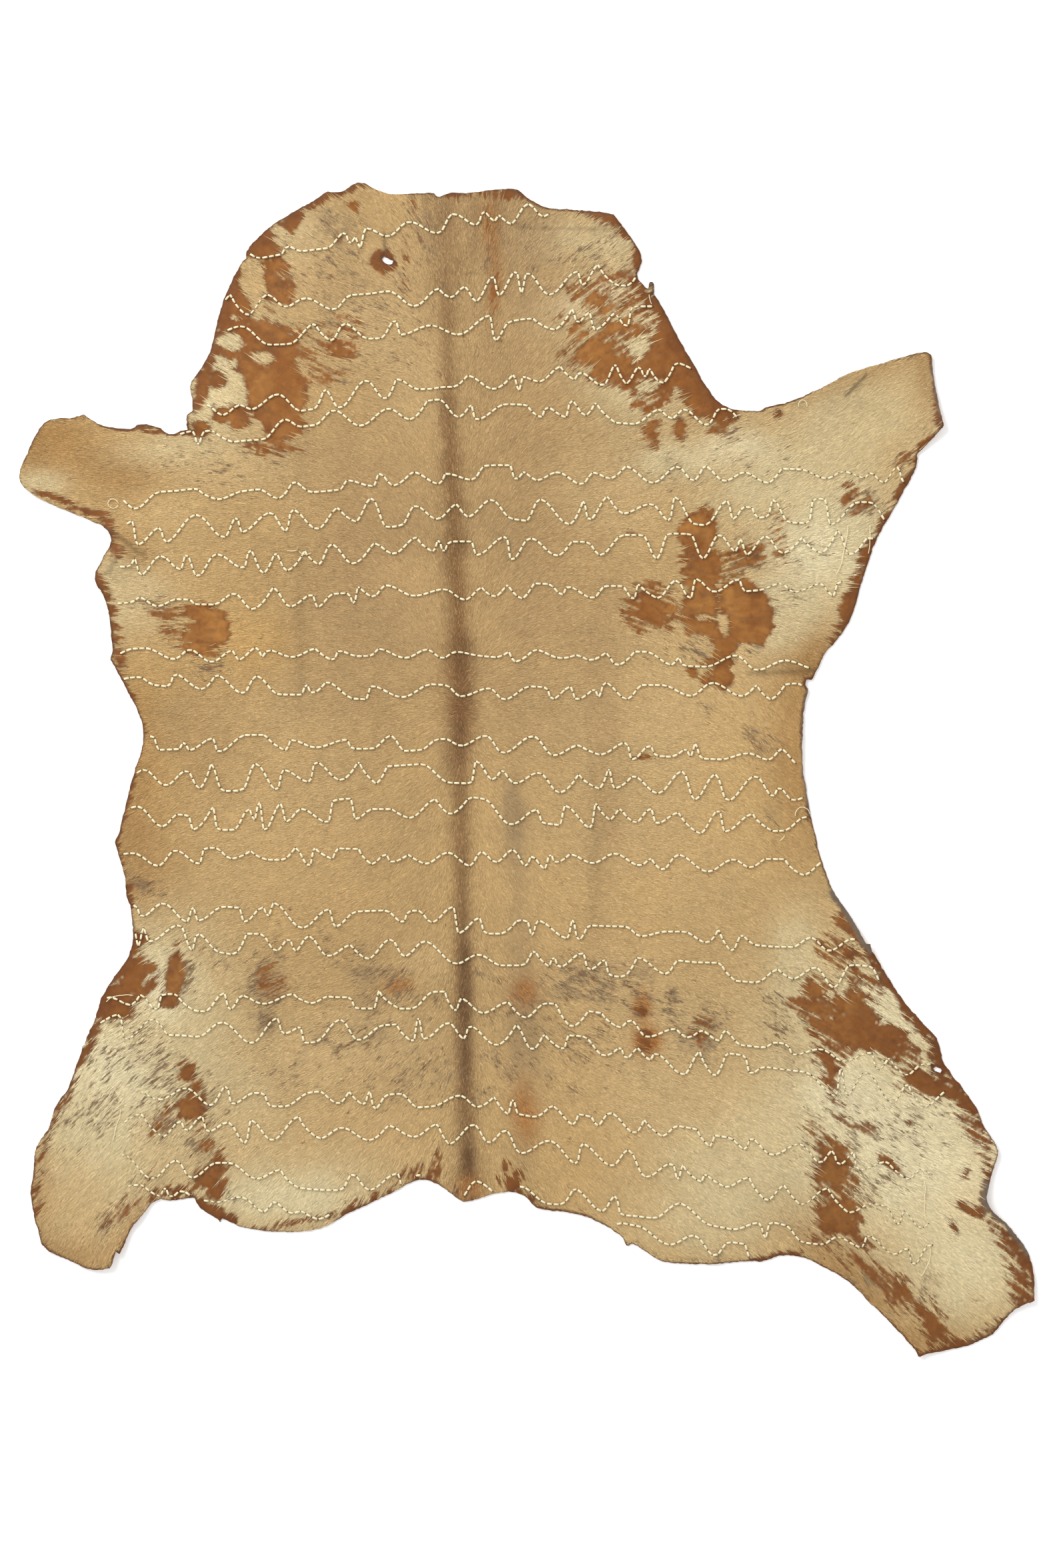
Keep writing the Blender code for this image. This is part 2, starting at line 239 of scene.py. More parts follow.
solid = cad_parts["calfskin"]
solid_points, solid_faces = welded(solid.data)
face_normals = np.cross(
    solid_points[solid_faces[:, 1]] - solid_points[solid_faces[:, 0]],
    solid_points[solid_faces[:, 2]] - solid_points[solid_faces[:, 0]],
)
face_normals /= np.linalg.norm(face_normals, axis=1)[:, None]
under_faces = solid_faces[face_normals[:, 2] < -0.5]
under_tree = BVHTree.FromPolygons(solid_points.tolist(), under_faces.tolist())
rims = []
for loop in rims_of(under_faces):
    rims.append(finer_rim(solid_points[loop, :2], RIM_STEP if not rims else RIM_STEP / 2))
rough = np.random.default_rng(11)
for place, rim in enumerate(rims):
    ahead_of, behind = np.roll(rim, -1, axis=0), np.roll(rim, 1, axis=0)
    along_rim = (ahead_of - behind) / np.linalg.norm(ahead_of - behind, axis=1)[:, None]
    nicks = rough.normal(0.0, 0.5, len(rim)) + clouds(rim[:, 0], rim[:, 1], 0.007, 12 + place)
    rims[place] = rim + np.stack((along_rim[:, 1], -along_rim[:, 0]), axis=1) * (nicks * RIM_RAGGED)[:, None]


def coarse_places(step):
    """Where a coarser chart of the skin has its nodes, across and along."""
    across = CHART_LEFT + step * np.arange(math.ceil((CHART_WIDE - 1) * CHART_STEP / step) + 1)
    along = CHART_LOW + step * np.arange(math.ceil((CHART_TALL - 1) * CHART_STEP / step) + 1)
    return across, along


LIE_STEP, LOOK_FROM, LOOK_FAR = 0.004, -0.05, 0.2
lie_x, lie_y = coarse_places(LIE_STEP)
lie_chart = np.zeros((len(lie_y), len(lie_x)))
for row, y in enumerate(lie_y):
    for column, x in enumerate(lie_x):
        spot = Vector((x, y, LOOK_FROM))
        hit = under_tree.ray_cast(spot, Vector((0.0, 0.0, 1.0)), LOOK_FAR)[0]
        if hit is None:
            spot.z = 0.0
            hit = under_tree.find_nearest(spot)[0]
        lie_chart[row, column] = hit.z

REACH_STEP = 0.002
reach_x, reach_y = coarse_places(REACH_STEP)
rim_tree = KDTree(sum(len(rim) * 3 for rim in rims))
for rim in rims:
    for part in (0.0, 1 / 3, 2 / 3):
        for spot in rim * (1 - part) + np.roll(rim, -1, axis=0) * part:
            rim_tree.insert((spot[0], spot[1], 0.0), 0)
rim_tree.balance()
reach_chart = np.array([[rim_tree.find((x, y, 0.0))[2] for x in reach_x] for y in reach_y])
inside_chart = np.zeros(reach_chart.shape, bool)
for row, level in enumerate(reach_y):
    for rim in rims:
        start, end = rim, np.roll(rim, -1, axis=0)
        crossing = (start[:, 1] > level) != (end[:, 1] > level)
        start, end = start[crossing], end[crossing]
        cuts = np.sort(start[:, 0] + (level - start[:, 1]) * (end - start)[:, 0] / (end - start)[:, 1])
        inside_chart[row] ^= np.searchsorted(cuts, reach_x) % 2 == 1
reach_chart = np.where(inside_chart, reach_chart, -reach_chart)


def lie(x, y):
    """Height of the skin's underside."""
    return read_chart(lie_chart, x, y, LIE_STEP)


def from_rim(x, y):
    """Distance in from the cut edge, or less than nothing outside it."""
    return read_chart(reach_chart, x, y, REACH_STEP)


# How the hair lies: a heading in degrees at places on the skin, read in picture steps. It rises from
# the back's whorl towards the neck, falls below it, and runs outward over the flanks and legs.
Lay = namedtuple("Lay", "x y heading")
LAYS = [Lay(*row) for row in (
    (560, 330, 140), (700, 330, 92), (850, 330, 38), (440, 400, 150), (880, 430, 40), (640, 480, 128),
    (730, 480, 52), (410, 500, 146), (890, 540, 46), (330, 540, 152), (970, 470, 20), (1060, 560, 20),
    (480, 520, 145), (560, 520, 198), (410, 620, 142), (1085, 645, 22), (640, 680, 128), (725, 680, 50),
    (520, 700, 172), (880, 700, 6), (350, 700, 182), (1090, 720, 20), (220, 730, 190), (90, 690, 172),
    (1250, 700, 26), (1390, 590, 24), (1340, 690, 42), (1280, 775, 44), (640, 880, 136), (735, 880, 42),
    (500, 900, 180), (900, 900, 0), (300, 900, 190), (1110, 830, 38), (1265, 868, -28), (1268, 912, -4),
    (1180, 890, 26), (1150, 965, -40), (1000, 920, -38), (170, 885, 152), (215, 905, 172),
    (1240, 985, -38), (200, 850, 196), (170, 955, 182), (655, 1060, 172), (725, 1060, 6),
    (630, 1160, 214), (750, 1160, -34), (450, 1150, 188), (950, 1150, -8), (280, 1150, 192),
    (1120, 1120, -14), (1190, 1090, -66), (1200, 1210, -48), (200, 1180, 222), (640, 1330, 222),
    (742, 1330, -44), (450, 1350, 196), (950, 1350, -18), (240, 1330, 200), (1180, 1330, -30),
    (630, 1500, 222), (760, 1500, -42), (450, 1500, 200), (950, 1500, -20), (300, 1480, 222),
    (170, 1480, 216), (1230, 1480, -32), (1380, 1620, -34), (600, 1660, 222), (800, 1660, -38),
    (430, 1660, 206), (1000, 1660, -26), (260, 1660, 214), (1220, 1700, -34), (110, 1680, 232),
    (70, 1790, 208), (140, 1850, 245), (240, 1790, 232), (420, 1800, 228), (640, 1770, 240),
    (700, 1780, 270), (800, 1770, -50), (940, 1800, -44), (1080, 1830, -38), (1260, 1860, -44),
    (1380, 1940, -50), (1480, 1860, -28), (1420, 1760, -24), (1535, 1920, -40), (1450, 2000, -38),
)]
LAY_STEP, LAY_REACH, LAY_FAR = 0.008, 0.040, 0.0004
lay_x, lay_y = np.meshgrid(*coarse_places(LAY_STEP))
lay_chart = np.zeros(lay_x.shape + (2,))
for lay in LAYS:
    x, y = on_skin(lay.x, lay.y)
    away = np.hypot(lay_x - x, lay_y - y) / LAY_REACH
    weight = np.exp(-0.5 * away**2) + LAY_FAR / (0.1 + away)
    turn = math.radians(lay.heading)
    lay_chart += weight[..., None] * np.array((math.cos(turn), math.sin(turn)))


def hair_way(x, y):
    """The way that the hair points, as two parts of a unit step."""
    way = read_chart(lay_chart, x, y, LAY_STEP)
    return way / np.linalg.norm(way, axis=-1, keepdims=True)


chart_rows = CHART_LOW + CHART_STEP * np.arange(CHART_TALL)
chart_x, chart_y = np.meshgrid(CHART_LEFT + CHART_STEP * np.arange(CHART_WIDE), chart_rows)
chart_way = hair_way(chart_x, chart_y)


def combed(seed, reach, taps):
    """Fine streaks that follow the hair, as a chart from about -1 to 1."""
    specks = np.random.default_rng(seed).uniform(-1.0, 1.0, chart_x.shape)
    streaks = np.zeros(chart_x.shape)
    for shift in np.linspace(-reach, reach, taps):
        x, y = chart_x + shift * chart_way[..., 0], chart_y + shift * chart_way[..., 1]
        streaks += read_chart(specks, x, y)
    return streaks / (2.0 * streaks.std())


streaks = combed(21, 0.011, 19)
fine_streaks = combed(22, 0.005, 9)
short_streaks = combed(23, 0.0022, 5)

# Where the coat is worn or shorn to bare leather. A patch is an oval, turned by some degrees where a last
# value says so, and a band runs along an edge. Wisps says how far strands of hair still cross it, and tufts
# are islands of hair left inside. All in picture steps.
Patch = namedtuple("Patch", "x y half_x half_y wisps turn", defaults=(0,))
Band = namedtuple("Band", "x1 y1 x2 y2 half_1 half_2 wisps")
BARE_PATCHES = [Patch(*row) for row in (
    (392, 348, 34, 44, 0.6, 40), (345, 430, 30, 62, 0.5, 24), (412, 425, 30, 40, 0.9, 10),
    (385, 520, 70, 44, 0.5, -10), (414, 582, 48, 60, 0.4), (426, 640, 34, 26, 0.6),
    (356, 628, 24, 22, 0.5), (505, 515, 30, 26, 1.4, -42), (418, 671, 40, 14, 1.2),
    (327, 568, 12, 14, 0.1), (332, 625, 19, 17, 0.1), (300, 643, 17, 13, 0.1), (238, 648, 10, 5, 0.1),
    (620, 307, 8, 26, 1.1), (732, 326, 4, 18, 1.2, 6), (741, 450, 5, 20, 1.4, -8), (608, 391, 4, 28, 0.8),
    (533, 309, 7, 5, 0.9), (470, 560, 34, 16, 1.7), (515, 490, 34, 16, 1.7), (455, 525, 20, 36, 1.5),
    (455, 300, 18, 8, 0.6, 30), (900, 455, 56, 24, 1.2, -30), (940, 500, 60, 30, 1.4, -30),
    (975, 570, 44, 44, 1.2), (1022, 540, 34, 56, 0.4, 38), (1072, 602, 38, 24, 0.3, 30),
    (1096, 622, 24, 12, 0.3, 6), (977, 650, 14, 25, 0.8), (1021, 646, 10, 20, 0.6),
    (1072, 642, 24, 10, 0.7), (947, 797, 9, 6, 0.4), (985, 475, 26, 14, 1.0, -40),
    (925, 420, 30, 12, 1.5, -20), (1046, 800, 27, 42, 0.4), (1052, 850, 32, 36, 0.9),
    (1056, 922, 34, 44, 0.3, 6), (1116, 920, 46, 50, 0.3, 30), (1090, 968, 34, 26, 0.5, 60),
    (978, 912, 46, 38, 1.3), (1126, 834, 22, 22, 1.2), (1100, 852, 26, 26, 1.5), (1076, 991, 25, 8, 0.4),
    (1084, 1016, 18, 16, 0.3), (1037, 1008, 10, 9, 0.3), (1059, 1018, 7, 12, 0.3, -30),
    (962, 1135, 14, 5, 0.2), (1167, 622, 9, 6, 0.1, 20), (1143, 612, 6, 4, 0.1), (1288, 753, 18, 18, 2.0),
    (1271, 727, 12, 6, 0.6, 20), (1358, 690, 18, 12, 1.0, 30), (1168, 805, 10, 30, 1.5),
    (304, 938, 44, 36, 0.5), (300, 968, 32, 22, 0.8), (256, 920, 28, 15, 0.9, -12),
    (193, 1345, 7, 20, 0.4), (196, 1462, 38, 40, 1.0, 35), (166, 1502, 30, 40, 0.4, 35),
    (263, 1464, 13, 44, 0.3, -4), (257, 1500, 18, 14, 0.4, -20), (408, 1476, 18, 28, 1.5),
    (281, 1610, 14, 18, 0.6), (286, 1654, 25, 36, 0.9), (300, 1672, 15, 22, 0.9),
    (251, 1662, 12, 24, 1.2, -20), (236, 1692, 8, 20, 1.0, -32), (310, 1716, 9, 13, 1.1),
    (315, 1776, 24, 27, 0.9), (330, 1748, 12, 18, 1.0), (210, 1785, 7, 24, 1.3, -30),
    (104, 1634, 8, 22, 0.6, -20), (188, 1808, 8, 16, 1.7, -30), (256, 1786, 24, 7, 1.7, 6),
    (962, 1508, 9, 18, 1.0), (969, 1561, 15, 18, 0.7), (1052, 1540, 12, 18, 1.9),
    (657, 1730, 5, 12, 0.3, 10), (654, 1757, 12, 9, 0.5), (612, 1764, 22, 10, 1.3, 24),
    (636, 1752, 14, 8, 1.3, 24), (776, 1758, 12, 9, 1.3, -24), (880, 500, 40, 14, 1.6, -30),
    (960, 455, 30, 18, 1.4, -30), (268, 948, 30, 16, 1.0), (761, 1746, 8, 12, 0.4, -10),
    (769, 1775, 15, 14, 0.5), (801, 1797, 14, 5, 0.5, -30), (1234, 1520, 34, 56, 1.1, 20),
    (1290, 1500, 52, 56, 1.2), (1262, 1430, 40, 26, 1.0, -28), (1340, 1568, 50, 30, 1.0, -30),
    (1242, 1580, 26, 34, 1.0), (1242, 1622, 10, 34, 0.9, 24), (1390, 1624, 56, 24, 0.8, -16),
    (1282, 1548, 56, 30, 0.6, -14), (1210, 1510, 24, 12, 1.0, -10), (1296, 1448, 44, 24, 0.8, -40),
    (1297, 1694, 15, 13, 0.9), (1250, 1752, 38, 54, 0.9, 8), (1252, 1822, 40, 34, 0.9),
    (1258, 1662, 12, 26, 1.5, 24), (1335, 1735, 12, 18, 1.8, 30), (1240, 1866, 34, 10, 1.5, -36),
    (1304, 1890, 14, 44, 1.6, 34), (1350, 1944, 21, 38, 1.3, 26), (1398, 1990, 26, 48, 1.1, 16),
    (1248, 1412, 8, 18, 1.2, 30), (1448, 1760, 10, 9, 0.4), (1220, 1705, 20, 20, 1.7),
    (1430, 1838, 5, 12, 0.3, 34), (577, 393, 19, 20, 0.2), (888, 528, 50, 28, 1.1, 20),
    (922, 552, 44, 26, 1.0), (905, 440, 26, 12, 1.2), (1005, 545, 42, 50, 0.6, 20),
    (1055, 592, 62, 30, 0.3, -46), (1346, 1452, 26, 12, 1.2, -30),
)]
BARE_BANDS = [Band(*row) for row in (
    (500, 292, 545, 277, 5, 4, 0.5), (545, 277, 690, 288, 5, 3, 0.4), (770, 288, 930, 330, 4, 7, 0.5),
    (420, 318, 500, 288, 20, 8, 0.6), (660, 287, 790, 292, 8, 8, 0.6), (360, 400, 428, 305, 30, 34, 0.5),
    (330, 500, 352, 400, 14, 22, 0.4), (296, 610, 318, 520, 8, 12, 0.4), (925, 330, 945, 358, 12, 6, 0.6),
    (893, 324, 925, 330, 6, 11, 0.6), (955, 375, 958, 415, 7, 9, 0.5), (200, 1160, 180, 1240, 7, 7, 0.5),
    (945, 418, 1000, 482, 12, 14, 0.7), (985, 440, 1010, 520, 10, 12, 0.4),
    (1010, 520, 1075, 600, 16, 22, 0.3), (1075, 600, 1108, 614, 20, 10, 0.3),
    (240, 640, 300, 655, 6, 6, 0.5), (140, 628, 235, 648, 4, 4, 0.5), (60, 738, 160, 778, 5, 10, 0.6),
    (160, 778, 176, 830, 8, 12, 0.6), (144, 865, 170, 925, 10, 9, 1.0), (170, 925, 182, 1010, 8, 7, 1.0),
    (182, 1010, 215, 1090, 5, 4, 0.8), (215, 1090, 178, 1270, 4, 4, 0.7),
    (178, 1270, 192, 1400, 5, 8, 0.9), (200, 1410, 150, 1520, 20, 18, 0.9),
    (150, 1520, 96, 1650, 14, 8, 0.9), (92, 1650, 60, 1740, 7, 4, 0.8), (52, 1758, 50, 1818, 9, 9, 1.9),
    (1396, 660, 1386, 700, 14, 16, 1.0), (1386, 700, 1330, 800, 15, 22, 0.9),
    (1330, 800, 1292, 890, 22, 24, 0.9), (1292, 890, 1252, 962, 24, 8, 0.8),
    (1402, 540, 1406, 640, 3, 5, 0.4), (1262, 1378, 1330, 1450, 10, 22, 0.8),
    (1330, 1450, 1400, 1560, 22, 26, 0.8), (1400, 1560, 1446, 1650, 22, 20, 0.9),
    (1446, 1650, 1480, 1722, 22, 13, 1.3), (1482, 1725, 1476, 1815, 5, 7, 0.9),
    (1440, 1806, 1470, 1818, 7, 9, 0.5), (1496, 1834, 1536, 1890, 13, 24, 1.2),
    (1536, 1900, 1534, 1958, 26, 20, 1.5), (1520, 1975, 1440, 2020, 8, 6, 1.0),
    (1440, 2018, 1378, 2034, 10, 12, 0.9), (1213, 1030, 1212, 1230, 3, 3, 0.3),
    (530, 1812, 645, 1772, 9, 14, 1.2), (290, 1802, 350, 1832, 12, 8, 0.3),
    (230, 1800, 300, 1838, 6, 10, 0.6), (755, 1770, 812, 1812, 9, 7, 1.1),
    (1125, 1892, 1200, 1880, 5, 6, 0.5), (1200, 1882, 1300, 1960, 3, 4, 0.6),
    (360, 1850, 520, 1818, 3, 4, 0.7),
)]
TUFTS = [Patch(*row) for row in (
    (380, 418, 17, 34, 0.5, 10), (345, 512, 17, 12, 0.4), (395, 536, 14, 8, 0.4), (350, 546, 6, 5, 0.3),
    (1084, 933, 6, 15, 0.3, 18), (1055, 927, 11, 3, 0.3), (1046, 966, 16, 12, 0.8),
    (272, 933, 13, 8, 1.0), (1292, 1446, 18, 9, 0.8, -30), (1325, 1512, 20, 9, 0.8, -30),
    (1382, 1562, 14, 7, 0.8, -30), (1262, 1476, 8, 14, 0.6, 10), (1320, 1500, 40, 9, 1.0, -42),
    (971, 579, 14, 9, 0.8, 20), (952, 518, 11, 7, 0.9, 20), (420, 350, 10, 18, 0.9, 20),
    (1110, 615, 5, 7, 0.3),
)]
RAGGED_SHARE, MOST_RAGGED, RAGGED_REACH = 0.55, 0.0085, 0.016
LEAST_STRAND, WISPY_STRAND = 0.0010, 0.0032


def window(x, y, reach):
    """The part of a chart within reach of a place, as two slices."""
    column, row = (x - CHART_LEFT) / CHART_STEP, (y - CHART_LOW) / CHART_STEP
    wide = reach / CHART_STEP
    across = slice(max(0, int(column - wide)), max(0, min(CHART_WIDE, int(column + wide) + 2)))
    along = slice(max(0, int(row - wide)), max(0, min(CHART_TALL, int(row + wide) + 2)))
    return along, across


ragged = 0.55 * clouds(chart_x, chart_y, 0.015, 31) + 0.45 * clouds(chart_x, chart_y, 0.0055, 32)


def oval_places(oval_shape, reach, more=0.0):
    """The part of a chart round an oval, each place there in the oval's own measure, and its lesser half."""
    x, y = on_skin(oval_shape.x, oval_shape.y)
    half_x, half_y = oval_shape.half_x * PIXEL, oval_shape.half_y * PIXEL
    part = window(x, y, max(half_x, half_y) * reach + more)
    turn = math.radians(oval_shape.turn)
    away_x, away_y = chart_x[part] - x, chart_y[part] - y
    u = (away_x * math.cos(turn) + away_y * math.sin(turn)) / half_x
    v = (away_y * math.cos(turn) - away_x * math.sin(turn)) / half_y
    return part, u, v, min(half_x, half_y)


def oval(patch):
    """Where an oval patch is, and how far round its middle each place there lies, 1 being its edge."""
    part, u, v, size = oval_places(patch, 1.5, RAGGED_REACH)
    return part, np.hypot(u, v), size


def strip(band):
    """The same for a band: 1 is its edge."""
    x1, y1 = on_skin(band.x1, band.y1)
    x2, y2 = on_skin(band.x2, band.y2)
    length = math.hypot(x2 - x1, y2 - y1)
    half_1, half_2 = band.half_1 * PIXEL, band.half_2 * PIXEL
    part = window((x1 + x2) / 2, (y1 + y2) / 2, length / 2 + max(half_1, half_2) + RAGGED_REACH)
    run = ((chart_x[part] - x1) * (x2 - x1) + (chart_y[part] - y1) * (y2 - y1)) / length**2
    run = np.clip(run, 0.0, 1.0)
    away = np.hypot(chart_x[part] - x1 - run * (x2 - x1), chart_y[part] - y1 - run * (y2 - y1))
    half = half_1 + (half_2 - half_1) * run
    return part, away / half, half


def worn_depth(part, round_middle, size, wisps):
    """Metres inside a worn place's ragged edge."""
    rough_edge = ragged[part] * np.minimum(RAGGED_SHARE * size, MOST_RAGGED)
    strands = streaks[part] * (LEAST_STRAND + WISPY_STRAND * wisps)
    inward = (1.0 - round_middle) * size
    inward = np.where(inward > 0.0, inward / (1.0 + 1.4 * wisps**2), inward)
    return inward + rough_edge / (1.0 + wisps) + strands


FAR_FROM_BARE = -0.05
bare_depth = np.full(chart_x.shape, FAR_FROM_BARE)
for worn, shape in [(patch, oval) for patch in BARE_PATCHES] + [(band, strip) for band in BARE_BANDS]:
    part, round_middle, size = shape(worn)
    bare_depth[part] = np.maximum(bare_depth[part], worn_depth(part, round_middle, size, worn.wisps))
for tuft in TUFTS:
    part, round_middle, size = oval(tuft)
    bare_depth[part] = np.minimum(bare_depth[part], -worn_depth(part, round_middle, size, tuft.wisps))

# The coat's colours: tan over the body, dun by the spine, golden on the flanks, cream on the legs, and a
# dark stripe down the back. Ovals blend in this order, and the last ones over stripe and smudges.
TAN, LIGHT, GOLD = dye(199, 166, 112), dye(210, 180, 128), dye(208, 166, 98)
CREAM, PALE = dye(219, 201, 156), dye(232, 218, 178)
DUN, UMBER, RUST = dye(180, 148, 103), dye(170, 127, 72), dye(176, 117, 58)
STRIPE, CORE = dye(129, 93, 56), dye(98, 68, 43)
SMUDGE, HAZE = dye(112, 90, 67), dye(142, 119, 90)
COAT_BRIGHT = np.array((1.05, 1.055, 1.06))
Shade = namedtuple("Shade", "x y half_x half_y colour strength turn", defaults=(0,))
SHADES = [Shade(*row) for row in (
    (690, 760, 330, 460, DUN, 0.35), (545, 880, 130, 240, DUN, 0.55), (800, 860, 110, 260, DUN, 0.45),
    (690, 1450, 330, 120, DUN, 0.15), (930, 1470, 90, 60, LIGHT, 0.5),
    (1010, 1200, 190, 230, LIGHT, 0.45), (1110, 1130, 70, 120, GOLD, 0.35),
    (1050, 1080, 120, 150, LIGHT, 0.5), (400, 1200, 150, 170, LIGHT, 0.35), (360, 960, 70, 50, GOLD, 0.5),
    (250, 1100, 90, 120, GOLD, 0.35), (560, 1640, 150, 90, LIGHT, 0.45), (900, 440, 120, 90, LIGHT, 0.35),
    (500, 420, 120, 80, LIGHT, 0.4), (190, 1170, 50, 170, UMBER, 0.60), (1195, 1120, 42, 170, UMBER, 0.6),
    (90, 668, 70, 40, UMBER, 0.6, 10), (70, 724, 40, 18, CREAM, 0.8), (150, 705, 70, 40, UMBER, 0.45),
    (208, 716, 40, 26, UMBER, 0.45), (270, 676, 80, 26, CREAM, 0.6), (345, 706, 90, 36, LIGHT, 0.6),
    (250, 770, 60, 30, LIGHT, 0.5), (905, 720, 70, 50, LIGHT, 0.5), (690, 400, 260, 120, DUN, 0.30),
    (760, 560, 90, 90, DUN, 0.40), (765, 355, 80, 70, DUN, 0.75), (520, 430, 46, 36, DUN, 0.50),
    (560, 490, 56, 56, LIGHT, 0.55), (622, 575, 50, 60, LIGHT, 0.5), (300, 1100, 60, 100, DUN, 0.5),
    (620, 1590, 80, 44, DUN, 0.25), (560, 1555, 100, 50, LIGHT, 0.55), (560, 1745, 100, 40, LIGHT, 0.7),
    (940, 765, 70, 60, LIGHT, 0.55), (540, 880, 60, 90, DUN, 0.35), (190, 890, 66, 62, CREAM, 0.55),
    (1290, 640, 180, 80, CREAM, 0.6, 24), (1260, 800, 90, 120, CREAM, 0.9),
    (1170, 920, 60, 56, CREAM, 0.7), (1150, 730, 90, 70, CREAM, 0.75), (1020, 692, 60, 26, CREAM, 0.8),
    (1095, 672, 50, 26, PALE, 0.7), (1000, 505, 44, 26, PALE, 0.6, -30), (1192, 1425, 34, 66, CREAM, 0.7),
    (1110, 1600, 16, 60, GOLD, 0.45, 32), (420, 350, 60, 50, CREAM, 0.45),
    (335, 520, 60, 60, CREAM, 0.85), (320, 600, 60, 50, CREAM, 0.9), (900, 360, 70, 40, CREAM, 0.65),
    (960, 540, 80, 80, CREAM, 0.85), (160, 1640, 120, 190, CREAM, 0.95),
    (240, 1480, 100, 90, CREAM, 0.75), (350, 1660, 110, 120, CREAM, 0.45),
    (430, 1790, 120, 50, CREAM, 0.9), (440, 1796, 80, 26, PALE, 0.45),
    (1330, 1700, 190, 170, CREAM, 0.95, -30), (1290, 1500, 110, 90, CREAM, 0.8),
    (1450, 1890, 90, 90, CREAM, 0.95), (1452, 1885, 60, 60, PALE, 0.55),
    (1100, 1720, 120, 110, CREAM, 0.8), (480, 1585, 60, 40, LIGHT, 0.8),
    (1040, 1830, 110, 50, CREAM, 0.55), (1010, 1610, 130, 90, LIGHT, 0.8),
    (640, 1440, 40, 30, LIGHT, 0.5), (110, 1885, 66, 30, UMBER, 0.5), (120, 1800, 60, 60, LIGHT, 0.5),
    (62, 1780, 18, 90, UMBER, 0.35), (205, 1850, 24, 70, UMBER, 0.6, -30),
    (1275, 1935, 46, 130, UMBER, 0.7, 38), (1390, 2010, 60, 26, UMBER, 0.5),
    (1228, 985, 60, 32, UMBER, 0.7, 45), (1390, 570, 24, 60, UMBER, 0.5),
    (1300, 560, 120, 18, UMBER, 0.3, 20), (60, 650, 60, 22, UMBER, 0.45, 10),
    (200, 820, 46, 22, UMBER, 0.5, -35), (1220, 825, 66, 56, PALE, 0.85),
    (1340, 1715, 100, 90, PALE, 0.9), (1425, 1750, 70, 90, PALE, 0.7, -30),
    (1270, 1640, 60, 50, PALE, 0.8), (165, 1600, 60, 80, PALE, 0.75), (232, 1490, 40, 50, PALE, 0.75),
    (1330, 1500, 60, 60, PALE, 0.7, -30), (900, 445, 70, 30, PALE, 0.5, 20),
    (784, 1560, 22, 160, HAZE, 0.42), (774, 1330, 14, 110, HAZE, 0.25), (905, 1090, 26, 260, DUN, 0.45),
    (205, 1328, 26, 18, UMBER, 0.7, -10), (768, 1215, 16, 70, HAZE, 0.45),
    (452, 900, 8, 160, SMUDGE, 0.16), (890, 1330, 10, 110, SMUDGE, 0.16),
    (230, 1290, 50, 50, UMBER, 0.35),
)]
LAST_SHADES = [Shade(*row) for row in (
    (697, 1330, 9, 70, CORE, 0.35), (698, 1470, 9, 80, CORE, 0.55), (698, 1600, 9, 60, CORE, 0.50),
    (702, 1736, 10, 36, CORE, 0.85), (690, 1110, 10, 60, CORE, 0.35), (690, 980, 8, 60, CORE, 0.30),
    (597, 1477, 22, 11, RUST, 0.7, 8), (787, 1487, 18, 20, RUST, 0.75), (736, 350, 12, 50, RUST, 0.45, 4),
    (742, 440, 12, 40, RUST, 0.35, -6), (787, 1663, 20, 42, RUST, 0.75, 6),
    (962, 1508, 13, 22, RUST, 0.85), (969, 1561, 19, 20, RUST, 0.95), (404, 1478, 24, 34, SMUDGE, 0.45),
    (410, 1482, 16, 22, RUST, 0.35), (403, 1535, 16, 18, SMUDGE, 0.4), (704, 1786, 18, 22, RUST, 0.6),
)]
Streak = namedtuple("Streak", "x1 y1 x2 y2 half_1 half_2 strength_1 strength_2")
BACK_STRIPE = [Streak(*row) for row in (
    (668, 285, 670, 420, 26, 20, 0.45, 0.50), (670, 420, 672, 560, 14, 13, 0.55, 0.60),
    (672, 560, 677, 700, 13, 15, 0.70, 0.80), (677, 700, 688, 900, 15, 18, 0.80, 0.85),
    (688, 900, 690, 1075, 18, 24, 0.85, 0.97), (690, 1075, 690, 1200, 22, 15, 0.95, 0.70),
    (690, 1200, 694, 1500, 15, 15, 0.70, 0.75), (694, 1500, 700, 1690, 15, 15, 0.80, 0.75),
    (700, 1690, 702, 1800, 17, 24, 0.75, 0.55), (640, 300, 652, 400, 9, 8, 0.35, 0.25),
    (712, 300, 706, 400, 10, 8, 0.30, 0.20), (744, 296, 738, 470, 13, 9, 0.40, 0.22),
)]
